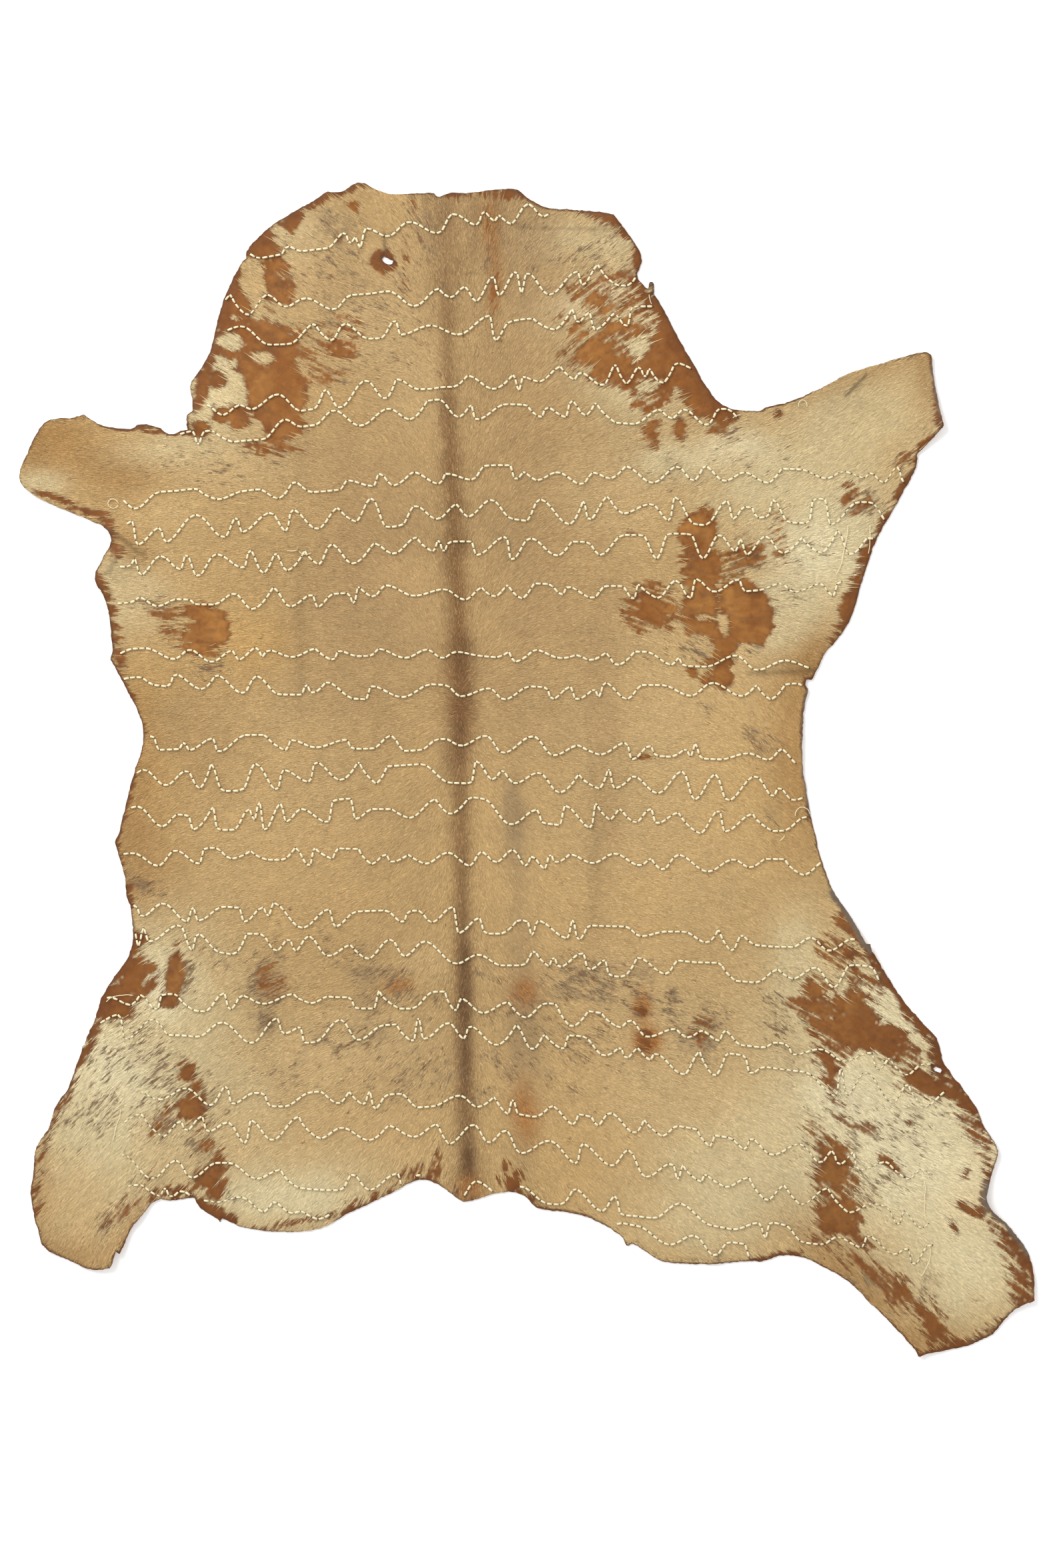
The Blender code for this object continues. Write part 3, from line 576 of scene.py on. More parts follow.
# Grey-brown smudges lie where the hair is thin. Flecks are the same with almost no haze, and where either
# is strongest the leather shows through in small streaks.
Smudge = namedtuple("Smudge", "x y half_x half_y strength turn", defaults=(0,))
SMUDGE_HAZE, FLECK_HAZE = 0.90, 0.08
SMUDGES = [Smudge(*row) for row in (
    (406, 1475, 34, 46, 0.8), (402, 1533, 17, 20, 0.9), (303, 1422, 11, 11, 0.7),
    (282, 1455, 14, 46, 0.7), (1011, 1502, 20, 24, 0.9), (1052, 1540, 24, 32, 1.0),
    (1136, 1111, 24, 32, 0.6), (1148, 1234, 18, 26, 0.5), (960, 1510, 20, 24, 0.7),
    (780, 1500, 60, 40, 0.4), (600, 1490, 60, 30, 0.65), (520, 1560, 60, 26, 0.55),
    (880, 1470, 70, 40, 0.55), (760, 1600, 60, 50, 0.4), (1288, 753, 26, 26, 0.7),
    (1200, 1515, 26, 40, 0.8), (245, 905, 26, 12, 0.6), (222, 1328, 40, 14, 0.5, -20),
    (1240, 1660, 40, 30, 0.5), (525, 398, 36, 24, 0.5, -30), (800, 342, 110, 14, 0.35, -4),
    (1000, 700, 60, 30, 0.35, -20), (900, 560, 60, 20, 0.35, -20), (680, 1640, 60, 60, 0.35),
    (650, 1790, 60, 20, 0.5), (1300, 1920, 30, 40, 0.45, 30), (1390, 1960, 34, 46, 0.5, 20),
    (1060, 1065, 12, 12, 0.5), (1115, 1060, 12, 18, 0.4), (500, 340, 50, 26, 0.4, -30),
    (285, 1715, 34, 18, 0.8, -20), (345, 1785, 14, 22, 0.7), (190, 1805, 14, 24, 0.7, -30),
    (205, 1770, 12, 20, 0.6, -30), (1345, 1740, 18, 22, 0.7), (1220, 1720, 26, 40, 0.7),
    (1395, 1655, 40, 20, 0.5, -30), (660, 1630, 14, 20, 0.5), (712, 1648, 6, 8, 0.8),
    (700, 1634, 8, 6, 0.7), (560, 1450, 60, 24, 0.5, -30), (620, 1540, 40, 30, 0.5, -30),
    (500, 1430, 40, 20, 0.4, -30), (1120, 835, 26, 26, 0.7), (935, 355, 16, 5, 0.9),
    (210, 1328, 30, 18, 0.7, -20), (520, 372, 70, 40, 0.5, -20), (1175, 1520, 36, 60, 0.7),
    (1030, 1530, 70, 40, 0.7, -30), (950, 1500, 60, 50, 0.45), (640, 335, 30, 60, 0.45),
    (735, 360, 16, 60, 0.6), (520, 520, 90, 50, 0.5, -30), (720, 1480, 20, 60, 0.35),
    (870, 1620, 50, 40, 0.25), (440, 1600, 60, 50, 0.25),
)]
FLECKS = [Smudge(*row) for row in (
    (1330, 1690, 60, 40, 0.50), (225, 1610, 70, 80, 0.55), (290, 1640, 50, 60, 0.60),
    (170, 1590, 80, 80, 0.55), (150, 1680, 70, 40, 0.50), (1300, 1770, 60, 50, 0.50),
    (1275, 1700, 26, 60, 0.70), (1190, 820, 50, 40, 0.30), (1120, 690, 90, 40, 0.30),
    (330, 700, 130, 40, 0.28), (560, 440, 150, 90, 0.36), (900, 380, 170, 70, 0.36),
    (850, 1560, 150, 70, 0.40), (430, 680, 40, 20, 0.70), (1100, 652, 40, 20, 0.65),
    (340, 1420, 30, 30, 0.45), (312, 1000, 34, 16, 0.80), (1040, 975, 34, 18, 0.85),
    (1130, 965, 24, 20, 0.70), (1185, 900, 18, 20, 0.65), (600, 1620, 120, 60, 0.35),
    (158, 1838, 14, 26, 0.95, -18), (186, 1803, 9, 16, 0.95, -30), (255, 1690, 20, 26, 0.8, -20),
)]


def blend(chart, part, colour, weight):
    """Mixes a colour into a part of a chart."""
    chart[part] += (colour - chart[part]) * weight[..., None]


def paint(shades):
    """Soft ovals of colour blended into the coat, in their order."""
    for shade in shades:
        part, u, v, _ = oval_places(shade, 2.2)
        near = u * u + v * v + 0.35 * broad[part] + 0.25 * middling[part]
        blend(coat_dye, part, shade.colour, shade.strength * np.clip(1.25 * np.exp(-near), 0.0, 1.0))


broad = clouds(chart_x, chart_y, 0.055, 41)
middling = clouds(chart_x, chart_y, 0.018, 42)
small = clouds(chart_x, chart_y, 0.005, 43)
coat_dye = np.empty(chart_x.shape + (3,))
coat_dye[:] = TAN
paint(SHADES)
stripe = np.zeros(chart_x.shape)
for streak in BACK_STRIPE:
    part, round_middle, _ = strip(streak)
    level = chart_rows[part[0]][:, None]
    top, bottom = on_skin(0, streak.y1)[1], on_skin(0, streak.y2)[1]
    run = np.clip((level - top) / (bottom - top), 0.0, 1.0)
    strength = streak.strength_1 + (streak.strength_2 - streak.strength_1) * run
    wave = round_middle + 0.22 * middling[part] + 0.12 * small[part]
    stripe[part] = np.maximum(stripe[part], strength * np.exp(-0.9 * np.maximum(wave, 0.0) ** 2.2))
blend(coat_dye, np.s_[:, :], STRIPE, np.clip(stripe, 0.0, 1.0))
thin = np.zeros(chart_x.shape)
fleck_depth = np.full(chart_x.shape, FAR_FROM_BARE)
for place, smudge in enumerate(SMUDGES + FLECKS):
    haziness = SMUDGE_HAZE if place < len(SMUDGES) else FLECK_HAZE
    part, round_middle, _ = oval(smudge)
    spread = np.exp(-0.8 * round_middle**2)
    blotch = 0.95 * smudge.strength * spread - 0.25 + 0.3 * middling[part] + 0.25 * small[part]
    blotch += 0.60 * fine_streaks[part] + 0.62 * short_streaks[part] + 0.15 * streaks[part]
    haze = smooth(0.0, 1.0, middling[part] + 0.6 * small[part] + 0.4 * streaks[part])
    blend(coat_dye, part, HAZE, haziness * smudge.strength * spread * haze)
    fleck_depth[part] = np.maximum(fleck_depth[part], np.minimum(0.009 * (blotch - 1.0), 0.0035))
    weight = (0.45 + 0.55 * smudge.strength) * spread**0.5 * smooth(0.30, 0.75, blotch)
    thin[part] = np.maximum(thin[part], np.clip(weight, 0.0, 1.0))
paint(LAST_SHADES)
bare_depth = np.maximum(bare_depth, fleck_depth)
near_bare = smooth(-0.006, 0.0, bare_depth) * smooth(-0.2, 0.9, middling + 0.5 * small + 0.4)
thin = np.maximum(thin, 0.34 * near_bare)
specks = np.random.default_rng(44).normal(0.0, 1.0, chart_x.shape)
mottle = 0.02 * small + 0.04 * middling + 0.03 * broad
coat_dye *= (1.0 + 0.03 * streaks + 0.03 * fine_streaks + 0.035 * specks + mottle)[..., None]
coat_dye = np.clip(coat_dye * COAT_BRIGHT, 0.01, 0.95)

# Painted shade in folds and creases, and some scars, as darker lines in coat and hide alike. The grey
# turned-up edges follow with the hide's colours.
Fold = namedtuple("Fold", "x1 y1 x2 y2 half_1 half_2 strength")
SHADED_FOLDS_AND_SCARS = [Fold(*row) for row in (
    (168, 797, 220, 835, 4, 3, 0.42), (188, 822, 165, 860, 4, 4, 0.42),
    (1120, 1010, 1215, 1005, 4, 5, 0.35), (1268, 595, 1298, 563, 2.5, 2.5, 0.6),
    (1076, 1875, 1076, 1895, 2.5, 2.5, 0.45), (578, 352, 579, 380, 2.5, 2.5, 0.6),
    (1405, 630, 1416, 645, 3, 3, 0.4), (978, 424, 979, 441, 5, 5, 0.5),
    (236, 1797, 166, 1902, 2.5, 2.5, 0.35), (775, 342, 935, 346, 2, 2, 0.28),
)]
fold_shade_and_scars = np.zeros(chart_x.shape)
for fold in SHADED_FOLDS_AND_SCARS:
    part, round_middle, _ = strip(fold)
    fold_shade_and_scars[part] = np.maximum(fold_shade_and_scars[part], fold.strength * np.exp(-(round_middle**2)))
coat_dye *= (1.0 - fold_shade_and_scars)[..., None]

# The hide's colours: orange-brown grain, lighter in the middle of a bare place and dark at the cut edge,
# with grey roots near the hair, and below the hair an undercoat darkened as painted shade between the blades.
LEATHER, LEATHER_LIGHT = dye(137, 84, 32), dye(162, 110, 51)
LEATHER_DARK, EDGE_DARK = dye(106, 60, 23), dye(76, 46, 24)
EDGE_GREY_AND_SHADE = dye(108, 98, 84)
# Turned-up edges on the right of the skin, painted grey for their back side and for the shade that falls on
# it, and kept bare of hair.
TurnedEdge = namedtuple("TurnedEdge", "x y half_x half_y reach turn", defaults=(0,))
SHADED_TURNED_EDGES = [TurnedEdge(*row) for row in (
    (1278, 1382, 22, 56, 7.0, 32), (1474, 1794, 14, 26, 9.0), (1516, 1848, 16, 46, 5.5, 42),
    (1212, 1130, 10, 100, 3.0), (1404, 590, 10, 60, 3.0),
)]
HAIR_LINE, TRIM_SOFT, GREY_SOFT = 0.0007, 0.0012, 0.0006
rim_reach = from_rim(chart_x, chart_y)
hide_dye = np.empty(coat_dye.shape)
hide_dye[:] = LEATHER
lit = smooth(-0.7, 0.7, 0.5 * middling + 0.5 * broad + 0.15 * small)
lit *= smooth(0.0, 0.006, bare_depth) * smooth(0.006, 0.050, rim_reach)
blots = smooth(0.1, 0.9, clouds(chart_x, chart_y, 0.012, 51) - 0.2 * small)
roots = smooth(0.25, 0.9, fine_streaks + 0.4 * small + 0.5 * (1.0 - smooth(0.0, 0.004, bare_depth)))
for colour, weight in (
    (LEATHER_LIGHT, lit),
    (LEATHER_DARK, 0.45 * blots),
    (LEATHER_DARK, 0.5 * (1.0 - smooth(0.0005, 0.003, bare_depth))),
    (LEATHER_DARK, 0.5 * (1.0 - smooth(0.003, 0.014, rim_reach))),
    (EDGE_DARK, 0.75 * (1.0 - smooth(0.0004, 0.0024, rim_reach))),
    (LEATHER_DARK, 0.40 * (1.0 - smooth(-0.25, -0.12, chart_y))),
    (SMUDGE * 0.6, 0.32 * roots),
):
    blend(hide_dye, np.s_[:, :], colour, weight)
hide_dye *= (1.0 + 0.06 * streaks + 0.05 * small)[..., None]
for edge in SHADED_TURNED_EDGES:
    part, round_middle, _ = oval(edge)
    reach = edge.reach * PIXEL
    turned_up = 1.0 - smooth(reach - GREY_SOFT, reach + GREY_SOFT, rim_reach[part])
    turned_up *= round_middle < 1.0
    blend(hide_dye, part, EDGE_GREY_AND_SHADE, 0.85 * turned_up)
    bare_depth[part] = np.where(turned_up > 0.5, np.maximum(bare_depth[part], 0.004), bare_depth[part])
trimmed = 0.0009 + 0.0018 * clouds(chart_x, chart_y, 0.03, 52)
bare = np.maximum(
    smooth(-HAIR_LINE, HAIR_LINE, bare_depth), 1.0 - smooth(trimmed, trimmed + TRIM_SOFT, rim_reach)
)
# Under the hair, the coat's colours darkened as painted shade between the blades, greyer where the hair is
# thin.
shaded_undercoat = coat_dye * 0.86
blend(shaded_undercoat, np.s_[:, :], SMUDGE * 0.8, 0.75 * thin)
# The bare leather also takes the painted shade of the folds and creases, and the scars.
hide_dye *= bare[..., None] * (1.0 - 0.7 * fold_shade_and_scars)[..., None]
hide_dye += shaded_undercoat * (1.0 - bare[..., None])


def filled(step_points):
    """The skin's outline and holes filled with triangles through the given inner points."""
    inside_only, merge_within, past_rim, least_area = 1, 1e-8, 0.0006, 1e-10
    points, edges = [], []
    for rim in rims:
        first = len(points)
        points += [Vector(spot) for spot in rim.tolist()]
        edges += [(first + k, first + (k + 1) % len(rim)) for k in range(len(rim))]
    points += [Vector(spot) for spot in step_points.tolist()]
    flat, _, faces, *_ = delaunay_2d_cdt(points, edges, [], inside_only, merge_within)
    flat = np.array([(p.x, p.y) for p in flat])
    faces = np.array([face for face in faces if len(face) == 3])
    middles = flat[faces].mean(axis=1)
    faces = faces[from_rim(*middles.T) > -past_rim]
    a, b, c = (flat[faces[:, k]] for k in range(3))
    area = (b - a)[:, 0] * (c - a)[:, 1] - (b - a)[:, 1] * (c - a)[:, 0]
    faces[area < 0] = faces[area < 0][:, ::-1]
    return flat, faces[np.abs(area) > least_area]


def staggered(step, clear):
    """Even points over the whole skin, clear of its edges, with each one's row and column."""
    row_step = step * math.sqrt(3) / 2
    rows = math.ceil(SKIN_HALF_TALL / row_step)
    columns = math.ceil(SKIN_HALF_WIDE / step)
    row, column = np.meshgrid(np.arange(-rows, rows + 1), np.arange(-columns, columns + 1), indexing="ij")
    x, y = (column + 0.5 * (row % 2)) * step, row * row_step
    keep = from_rim(x, y) > clear
    return x[keep], y[keep], row[keep], column[keep]


x, y, row, column = staggered(FINE_STEP, 0.5 * RIM_STEP)
coarse = (row % FINE_STEPS_IN_COARSE == 0) & (column % FINE_STEPS_IN_COARSE == 0)
near_wear = read_chart(bare_depth, x, y) > -0.006
jitter = rough.uniform(-0.25, 0.25, (2, len(x))) * FINE_STEP
grain_points, grain_faces = filled(np.stack((x + jitter[0], y + jitter[1]), axis=1)[coarse | near_wear])
x, y, _, _ = staggered(UNDERSIDE_STEP, 0.4 * UNDERSIDE_STEP)
flesh_points, flesh_faces = filled(np.stack((x, y), axis=1))


def grain_height(x, y):
    """Height of the hide's grain side, a little thinner at the cut edge and gently uneven."""
    uneven = 0.00012 * clouds(x, y, 0.009, 61) + 0.00005 * clouds(x, y, 0.003, 62)
    thick = HIDE_THICK * (EDGE_THIN + (1.0 - EDGE_THIN) * smooth(0.0, EDGE_SOFT, from_rim(x, y)))
    return lie(x, y) + thick + uneven


grain_count = len(grain_points)
hide_points = np.vstack((
    np.column_stack((grain_points, grain_height(*grain_points.T))),
    np.column_stack((flesh_points, lie(*flesh_points.T))),
))
flesh_tree = KDTree(len(flesh_points))
for place, spot in enumerate(flesh_points.tolist()):
    flesh_tree.insert((*spot, 0.0), place)
flesh_tree.balance()
below = {}
walls = []
for a, b in open_edges(grain_faces):
    for end in (a, b):
        if end not in below:
            below[end] = grain_count + flesh_tree.find((*grain_points[end].tolist(), 0.0))[1]
    walls.append((a, below[a], below[b], b))


def smooth_mesh(name, points, faces, *materials):
    """A mesh with smooth shading, from its points and faces, and its materials."""
    mesh = bpy.data.meshes.new(name)
    mesh.from_pydata(points, [], faces)
    mesh.shade_smooth()
    for material in materials:
        mesh.materials.append(material)
    return mesh


hide_faces = grain_faces.tolist() + (flesh_faces[:, ::-1] + grain_count).tolist() + walls
hide_mesh = smooth_mesh("hide", hide_points.tolist(), hide_faces)
wall_start = len(grain_faces) + len(flesh_faces)
finish_of_face = np.zeros(len(hide_mesh.polygons), np.int32)
finish_of_face[len(grain_faces):wall_start] = 1
finish_of_face[wall_start:] = 2
hide_mesh.polygons.foreach_set("material_index", finish_of_face)
hide_mesh.set_sharp_from_angle(angle=math.radians(50))
hide_tint = hide_mesh.attributes.new("tint", "FLOAT_COLOR", "POINT")
hide_spots = hide_points[:, :2].T
tint = read_chart(hide_dye, *hide_spots)
hide_tint.data.foreach_set("color", np.column_stack((tint, np.ones(len(tint)))).ravel())
hide_bare = hide_mesh.attributes.new("bare", "FLOAT", "POINT")
hide_bare.data.foreach_set("value", read_chart(bare, *hide_spots))


def node(tree, kind, place, inputs=(), **settings):
    """A shader node with its settings and the values of its inputs."""
    made = tree.nodes.new("ShaderNode" + kind)
    made.location = place
    for name, value in settings.items():
        setattr(made, name, value)
    for name, value in dict(inputs).items():
        made.inputs[name].default_value = value
    return made


def wire(tree, *runs):
    """Links in a tree, each given as a node and its output, and a node and its input."""
    for start, output, end, entry in runs:
        tree.links.new(start.outputs[output], end.inputs[entry])


def raised(tree, shader, source, output, strength, distance):
    """A bump on a shader from another node's output."""
    bump = node(tree, "Bump", (-300, -150), {"Strength": strength, "Distance": distance})
    wire(tree, (source, output, bump, "Height"), (bump, "Normal", shader, "Normal"))


def new_group(name, *sockets):
    """A node group with its sockets, and its entry and exit."""
    group = bpy.data.node_groups.new(name, "ShaderNodeTree")
    for socket, way, kind in sockets:
        group.interface.new_socket(socket, in_out=way, socket_type="NodeSocket" + kind)
    return group, group.nodes.new("NodeGroupInput"), group.nodes.new("NodeGroupOutput")


def leather_grain_group():
    """Fine grain: small pebbles, creases and pores as a height, and a mask of its hollows."""
    group, entry, leave = new_group(
        "leather grain",
        ("Pebble size", "INPUT", "Float"), ("Crease depth", "INPUT", "Float"),
        ("Height", "OUTPUT", "Float"), ("Hollows", "OUTPUT", "Float"),
    )
    where = node(group, "TexCoord", (-900, 200))
    finer = node(group, "Math", (-700, 0), {0: 1.0}, operation="DIVIDE")
    pebbles = node(group, "TexVoronoi", (-500, 200), feature="SMOOTH_F1")
    creases = node(group, "TexNoise", (-500, -50), {"Scale": 160.0, "Detail": 5.0, "Distortion": 0.6})
    deep = node(group, "Math", (-250, -50), operation="MULTIPLY")
    height = node(group, "Math", (0, 100), operation="ADD")
    hollows = node(group, "MapRange", (0, -150), {"From Min": 0.62, "From Max": 0.30})
    wire(
        group,
        (entry, "Pebble size", finer, 1),
        (where, "Object", pebbles, "Vector"),
        (where, "Object", creases, "Vector"),
        (finer, 0, pebbles, "Scale"),
        (creases, "Fac", deep, 0),
        (entry, "Crease depth", deep, 1),
        (pebbles, "Distance", height, 0),
        (deep, 0, height, 1),
        (creases, "Fac", hollows, "Value"),
        (height, 0, leave, "Height"),
        (hollows, "Result", leave, "Hollows"),
    )
    return group


def two_tone_group():
    """Two colours mixed by noise: all dark up to Low, and all light from High on."""
    group, entry, leave = new_group(
        "two tones",
        ("Scale", "INPUT", "Float"), ("Detail", "INPUT", "Float"),
        ("Low", "INPUT", "Float"), ("High", "INPUT", "Float"),
        ("Dark", "INPUT", "Color"), ("Light", "INPUT", "Color"),
        ("Colour", "OUTPUT", "Color"), ("Noise", "OUTPUT", "Float"),
    )
    where = node(group, "TexCoord", (-900, 0))
    noise = node(group, "TexNoise", (-700, 0))
    share = node(group, "MapRange", (-450, 0))
    mixed = node(group, "Mix", (-200, 0), data_type="RGBA")
    wire(
        group,
        (where, "Object", noise, "Vector"),
        (entry, "Scale", noise, "Scale"),
        (entry, "Detail", noise, "Detail"),
        (noise, "Fac", share, "Value"),
        (entry, "Low", share, "From Min"),
        (entry, "High", share, "From Max"),
        (share, "Result", mixed, "Factor"),
        (entry, "Dark", mixed, "A"),
        (entry, "Light", mixed, "B"),
        (mixed, "Result", leave, "Colour"),
        (noise, "Fac", leave, "Noise"),
    )
    return group


leather_grain, two_tones = leather_grain_group(), two_tone_group()


def mottled(name, roughness, specular, noise, dark, light):
    """A material in two tones by a noise of a given scale, detail, low and high."""
    material, tree, shader = finish(name, roughness, specular)
    values = dict(zip(("Scale", "Detail", "Low", "High"), noise))
    values.update({"Dark": (*dark, 1.0), "Light": (*light, 1.0)})
    tones = node(tree, "Group", (-450, 150), values, node_tree=two_tones)
    wire(tree, (tones, "Colour", shader, "Base Color"))
    return material, tree, shader, tones


grain_side, tree, shader = finish("grain side", 0.55, 0.22)
tint_in = node(tree, "Attribute", (-700, 300), attribute_name="tint")
bare_in = node(tree, "Attribute", (-700, -100), attribute_name="bare")
grain = node(tree, "Group", (-700, 80), {"Pebble size": 0.0011, "Crease depth": 0.8}, node_tree=leather_grain)
hollow_tint = {"B": (0.55, 0.42, 0.34, 1.0)}
darken = node(tree, "Mix", (-300, 300), hollow_tint, data_type="RGBA", blend_type="MULTIPLY")
partly = node(tree, "Math", (-500, 180), {1: 0.45}, operation="MULTIPLY")
worn_gloss = node(tree, "MapRange", (-300, -350), {"To Min": 0.85, "To Max": 0.48})
wire(
    tree,
    (grain, "Hollows", partly, 0),
    (partly, 0, darken, "Factor"),
    (tint_in, "Color", darken, "A"),
    (darken, "Result", shader, "Base Color"),
    (bare_in, "Fac", worn_gloss, "Value"),
    (worn_gloss, "Result", shader, "Roughness"),
)
raised(tree, shader, grain, "Height", 0.35, 0.0004)

flesh_side, tree, shader, _ = mottled(
    "flesh side", 0.92, 0.1, (22.0, 8.0, 0.3, 0.7), dye(176, 138, 98), dye(206, 176, 136)
)
where = node(tree, "TexCoord", (-900, -150))
fibre = node(tree, "TexNoise", (-700, -150), {"Scale": 1400.0, "Detail": 3.0})
wire(tree, (where, "Object", fibre, "Vector"))
raised(tree, shader, fibre, "Fac", 0.5, 0.0005)

cut_edge, *_ = mottled("cut edge", 0.8, 0.2, (500.0, 4.0, 0.35, 0.7), dye(86, 52, 28), dye(146, 96, 54))

for material in (grain_side, flesh_side, cut_edge):
    hide_mesh.materials.append(material)
hide = put_in_room("hide", hide_mesh)
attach(hide, "root")
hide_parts("calfskin")

# The coat: short smooth hair that lies flat and grows in small locks, longer and paler on the legs. Each
# blade is a narrow triangle standing for a few hairs, rooted in the grain and lifted at its tip.
COAT_PIECES = ("coat_neck", "coat_shoulders", "coat_flanks", "coat_rump")
MOST_BLADES = 177_000 * len(COAT_PIECES)
LOCK_STEP = 0.0026
BLADES_IN_LOCK = 9
LOCK_HALF_LONG, LOCK_HALF_WIDE = 0.0022, 0.0009
GROWTH_WIDE, GROWTH_TALL = 0.92, 1.06
BLADE_LONG, BLADE_WIDE, SHORTEST_BLADE = 0.0034, 0.00044, 0.0008
COAT_DEEP = 0.0008
ROOT_CLEAR, ROOT_IN_BARE = 0.0002, 0.0012
FLYING_SHARE, STRAY_SHARE, STRAY_REACH = 0.03, 0.05, 0.0035
REACH_OVER_BARE = ((0.0, 0.0003), (0.5, 0.0009), (0.95, 0.0017))
ROOT_SHADE, TIP_SHADE = 0.90, 1.06

Long = namedtuple("Long", "x y half_x half_y extra")
LONGER = [Long(*row) for row in (
    (130, 700, 120, 70, 0.40), (1290, 720, 130, 160, 0.50), (1180, 900, 90, 80, 0.50),
    (170, 900, 70, 80, 0.50), (160, 1640, 150, 230, 0.70), (1350, 1700, 210, 260, 0.75),
    (640, 1780, 90, 50, 0.60), (1000, 480, 110, 110, 0.70), (370, 500, 100, 180, 0.60),
    (300, 1800, 120, 60, 0.60),
)]
length_chart = np.ones(chart_x.shape)
for longer in LONGER:
    x, y = on_skin(longer.x, longer.y)
    u, v = (chart_x - x) / (longer.half_x * PIXEL), (chart_y - y) / (longer.half_y * PIXEL)
    length_chart = np.maximum(length_chart, 1.0 + longer.extra * np.exp(-(u * u + v * v)))
fringe = 0.35 * smooth(-0.008, -0.001, bare_depth) - 0.45 * (length_chart - 1.0)

growth = np.random.default_rng(71)
rows, columns = round(GROWTH_TALL / LOCK_STEP), round(GROWTH_WIDE / LOCK_STEP)
lock_x, lock_y = np.meshgrid(
    (np.arange(columns) - columns / 2) * LOCK_STEP, (np.arange(rows) - rows / 2) * LOCK_STEP
)
lock_x = lock_x.ravel() + growth.uniform(-0.5, 0.5, lock_x.size) * LOCK_STEP
lock_y = lock_y.ravel() + growth.uniform(-0.5, 0.5, lock_y.size) * LOCK_STEP
worn = read_chart(bare_depth, lock_x, lock_y)
keep = (from_rim(lock_x, lock_y) > ROOT_CLEAR) & (worn < ROOT_IN_BARE)
keep &= growth.uniform(0.0, 1.0, len(worn)) > 0.25 * read_chart(thin, lock_x, lock_y)
lock_x, lock_y = lock_x[keep], lock_y[keep]
way = hair_way(lock_x, lock_y)
sway = clouds(lock_x, lock_y, 0.012, 72) * 7.0 + growth.normal(0.0, 4.0, len(lock_x))
lock_turn = np.arctan2(way[:, 1], way[:, 0]) + np.radians(sway)
lock_tone = 1.0 + growth.normal(0.0, 0.022, len(lock_x))
lock_long = growth.uniform(0.85, 1.2, len(lock_x))

# The blades of each lock. A few by the worn places are flying hairs, long and loose, and a few are strays
# that reach further over the bare leather. All are trimmed at the cut edge, and of the rest each part may
# only reach so far over bare leather.
lock = np.repeat(np.arange(len(lock_x)), BLADES_IN_LOCK)
back = growth.uniform(-1.0, 1.0, len(lock)) * LOCK_HALF_LONG
beside = growth.normal(0.0, 1.0, len(lock)) * LOCK_HALF_WIDE
root_x = lock_x[lock] + back * np.cos(lock_turn[lock]) - beside * np.sin(lock_turn[lock])
root_y = lock_y[lock] + back * np.sin(lock_turn[lock]) + beside * np.cos(lock_turn[lock])
turn = lock_turn[lock] + np.radians(growth.normal(0.0, 5.0, len(lock)))
longer_here = read_chart(length_chart, root_x, root_y) + read_chart(fringe, root_x, root_y)
long = BLADE_LONG * longer_here * lock_long[lock] * growth.uniform(0.7, 1.15, len(lock))
flying = growth.uniform(0.0, 1.0, len(lock)) < FLYING_SHARE
flying &= read_chart(bare_depth, root_x, root_y) > -0.004
long = np.where(flying, BLADE_LONG * growth.uniform(2.0, 4.2, len(lock)), long)
trim = read_chart(trimmed, root_x, root_y) + growth.normal(0.0, 0.0004, len(lock))
for _ in range(4):
    over = trim - from_rim(root_x + long * np.cos(turn), root_y + long * np.sin(turn))
    long = np.maximum(long - np.maximum(over, 0.0), SHORTEST_BLADE)
slack = growth.normal(0.0, 0.0005, len(lock))
stray = growth.uniform(0.0, 1.0, len(lock)) < STRAY_SHARE
keep = from_rim(root_x, root_y) > np.maximum(trim, ROOT_CLEAR)
for part, overhang in REACH_OVER_BARE:
    worn = read_chart(bare_depth, root_x + part * long * np.cos(turn), root_y + part * long * np.sin(turn))
    keep &= (worn < np.where(stray, STRAY_REACH, overhang + slack)) | (flying & (part > 0.0))
lock, root_x, root_y, turn, long = (values[keep] for values in (lock, root_x, root_y, turn, long))
if len(lock) > MOST_BLADES:
    chosen = np.sort(growth.permutation(len(lock))[:MOST_BLADES])
    lock, root_x, root_y, turn, long = (values[chosen] for values in (lock, root_x, root_y, turn, long))
blades = len(lock)
tip_x, tip_y = root_x + long * np.cos(turn), root_y + long * np.sin(turn)
wide = BLADE_WIDE * growth.uniform(0.7, 1.3, blades) * (0.8 + 0.2 * long / BLADE_LONG)
roll = growth.normal(0.0, 0.00007, blades)
root_z = grain_height(root_x, root_y) + 0.00008 + growth.uniform(0.0, 0.0004, blades)
tip_z = grain_height(tip_x, tip_y) + COAT_DEEP * growth.uniform(0.25, 1.0, blades) ** 1.2
off_x, off_y = -np.sin(turn) * wide / 2, np.cos(turn) * wide / 2
left = np.stack((root_x + off_x, root_y + off_y, root_z + roll), axis=1)
right = np.stack((root_x - off_x, root_y - off_y, root_z - roll), axis=1)
tip = np.stack((tip_x, tip_y, tip_z), axis=1)

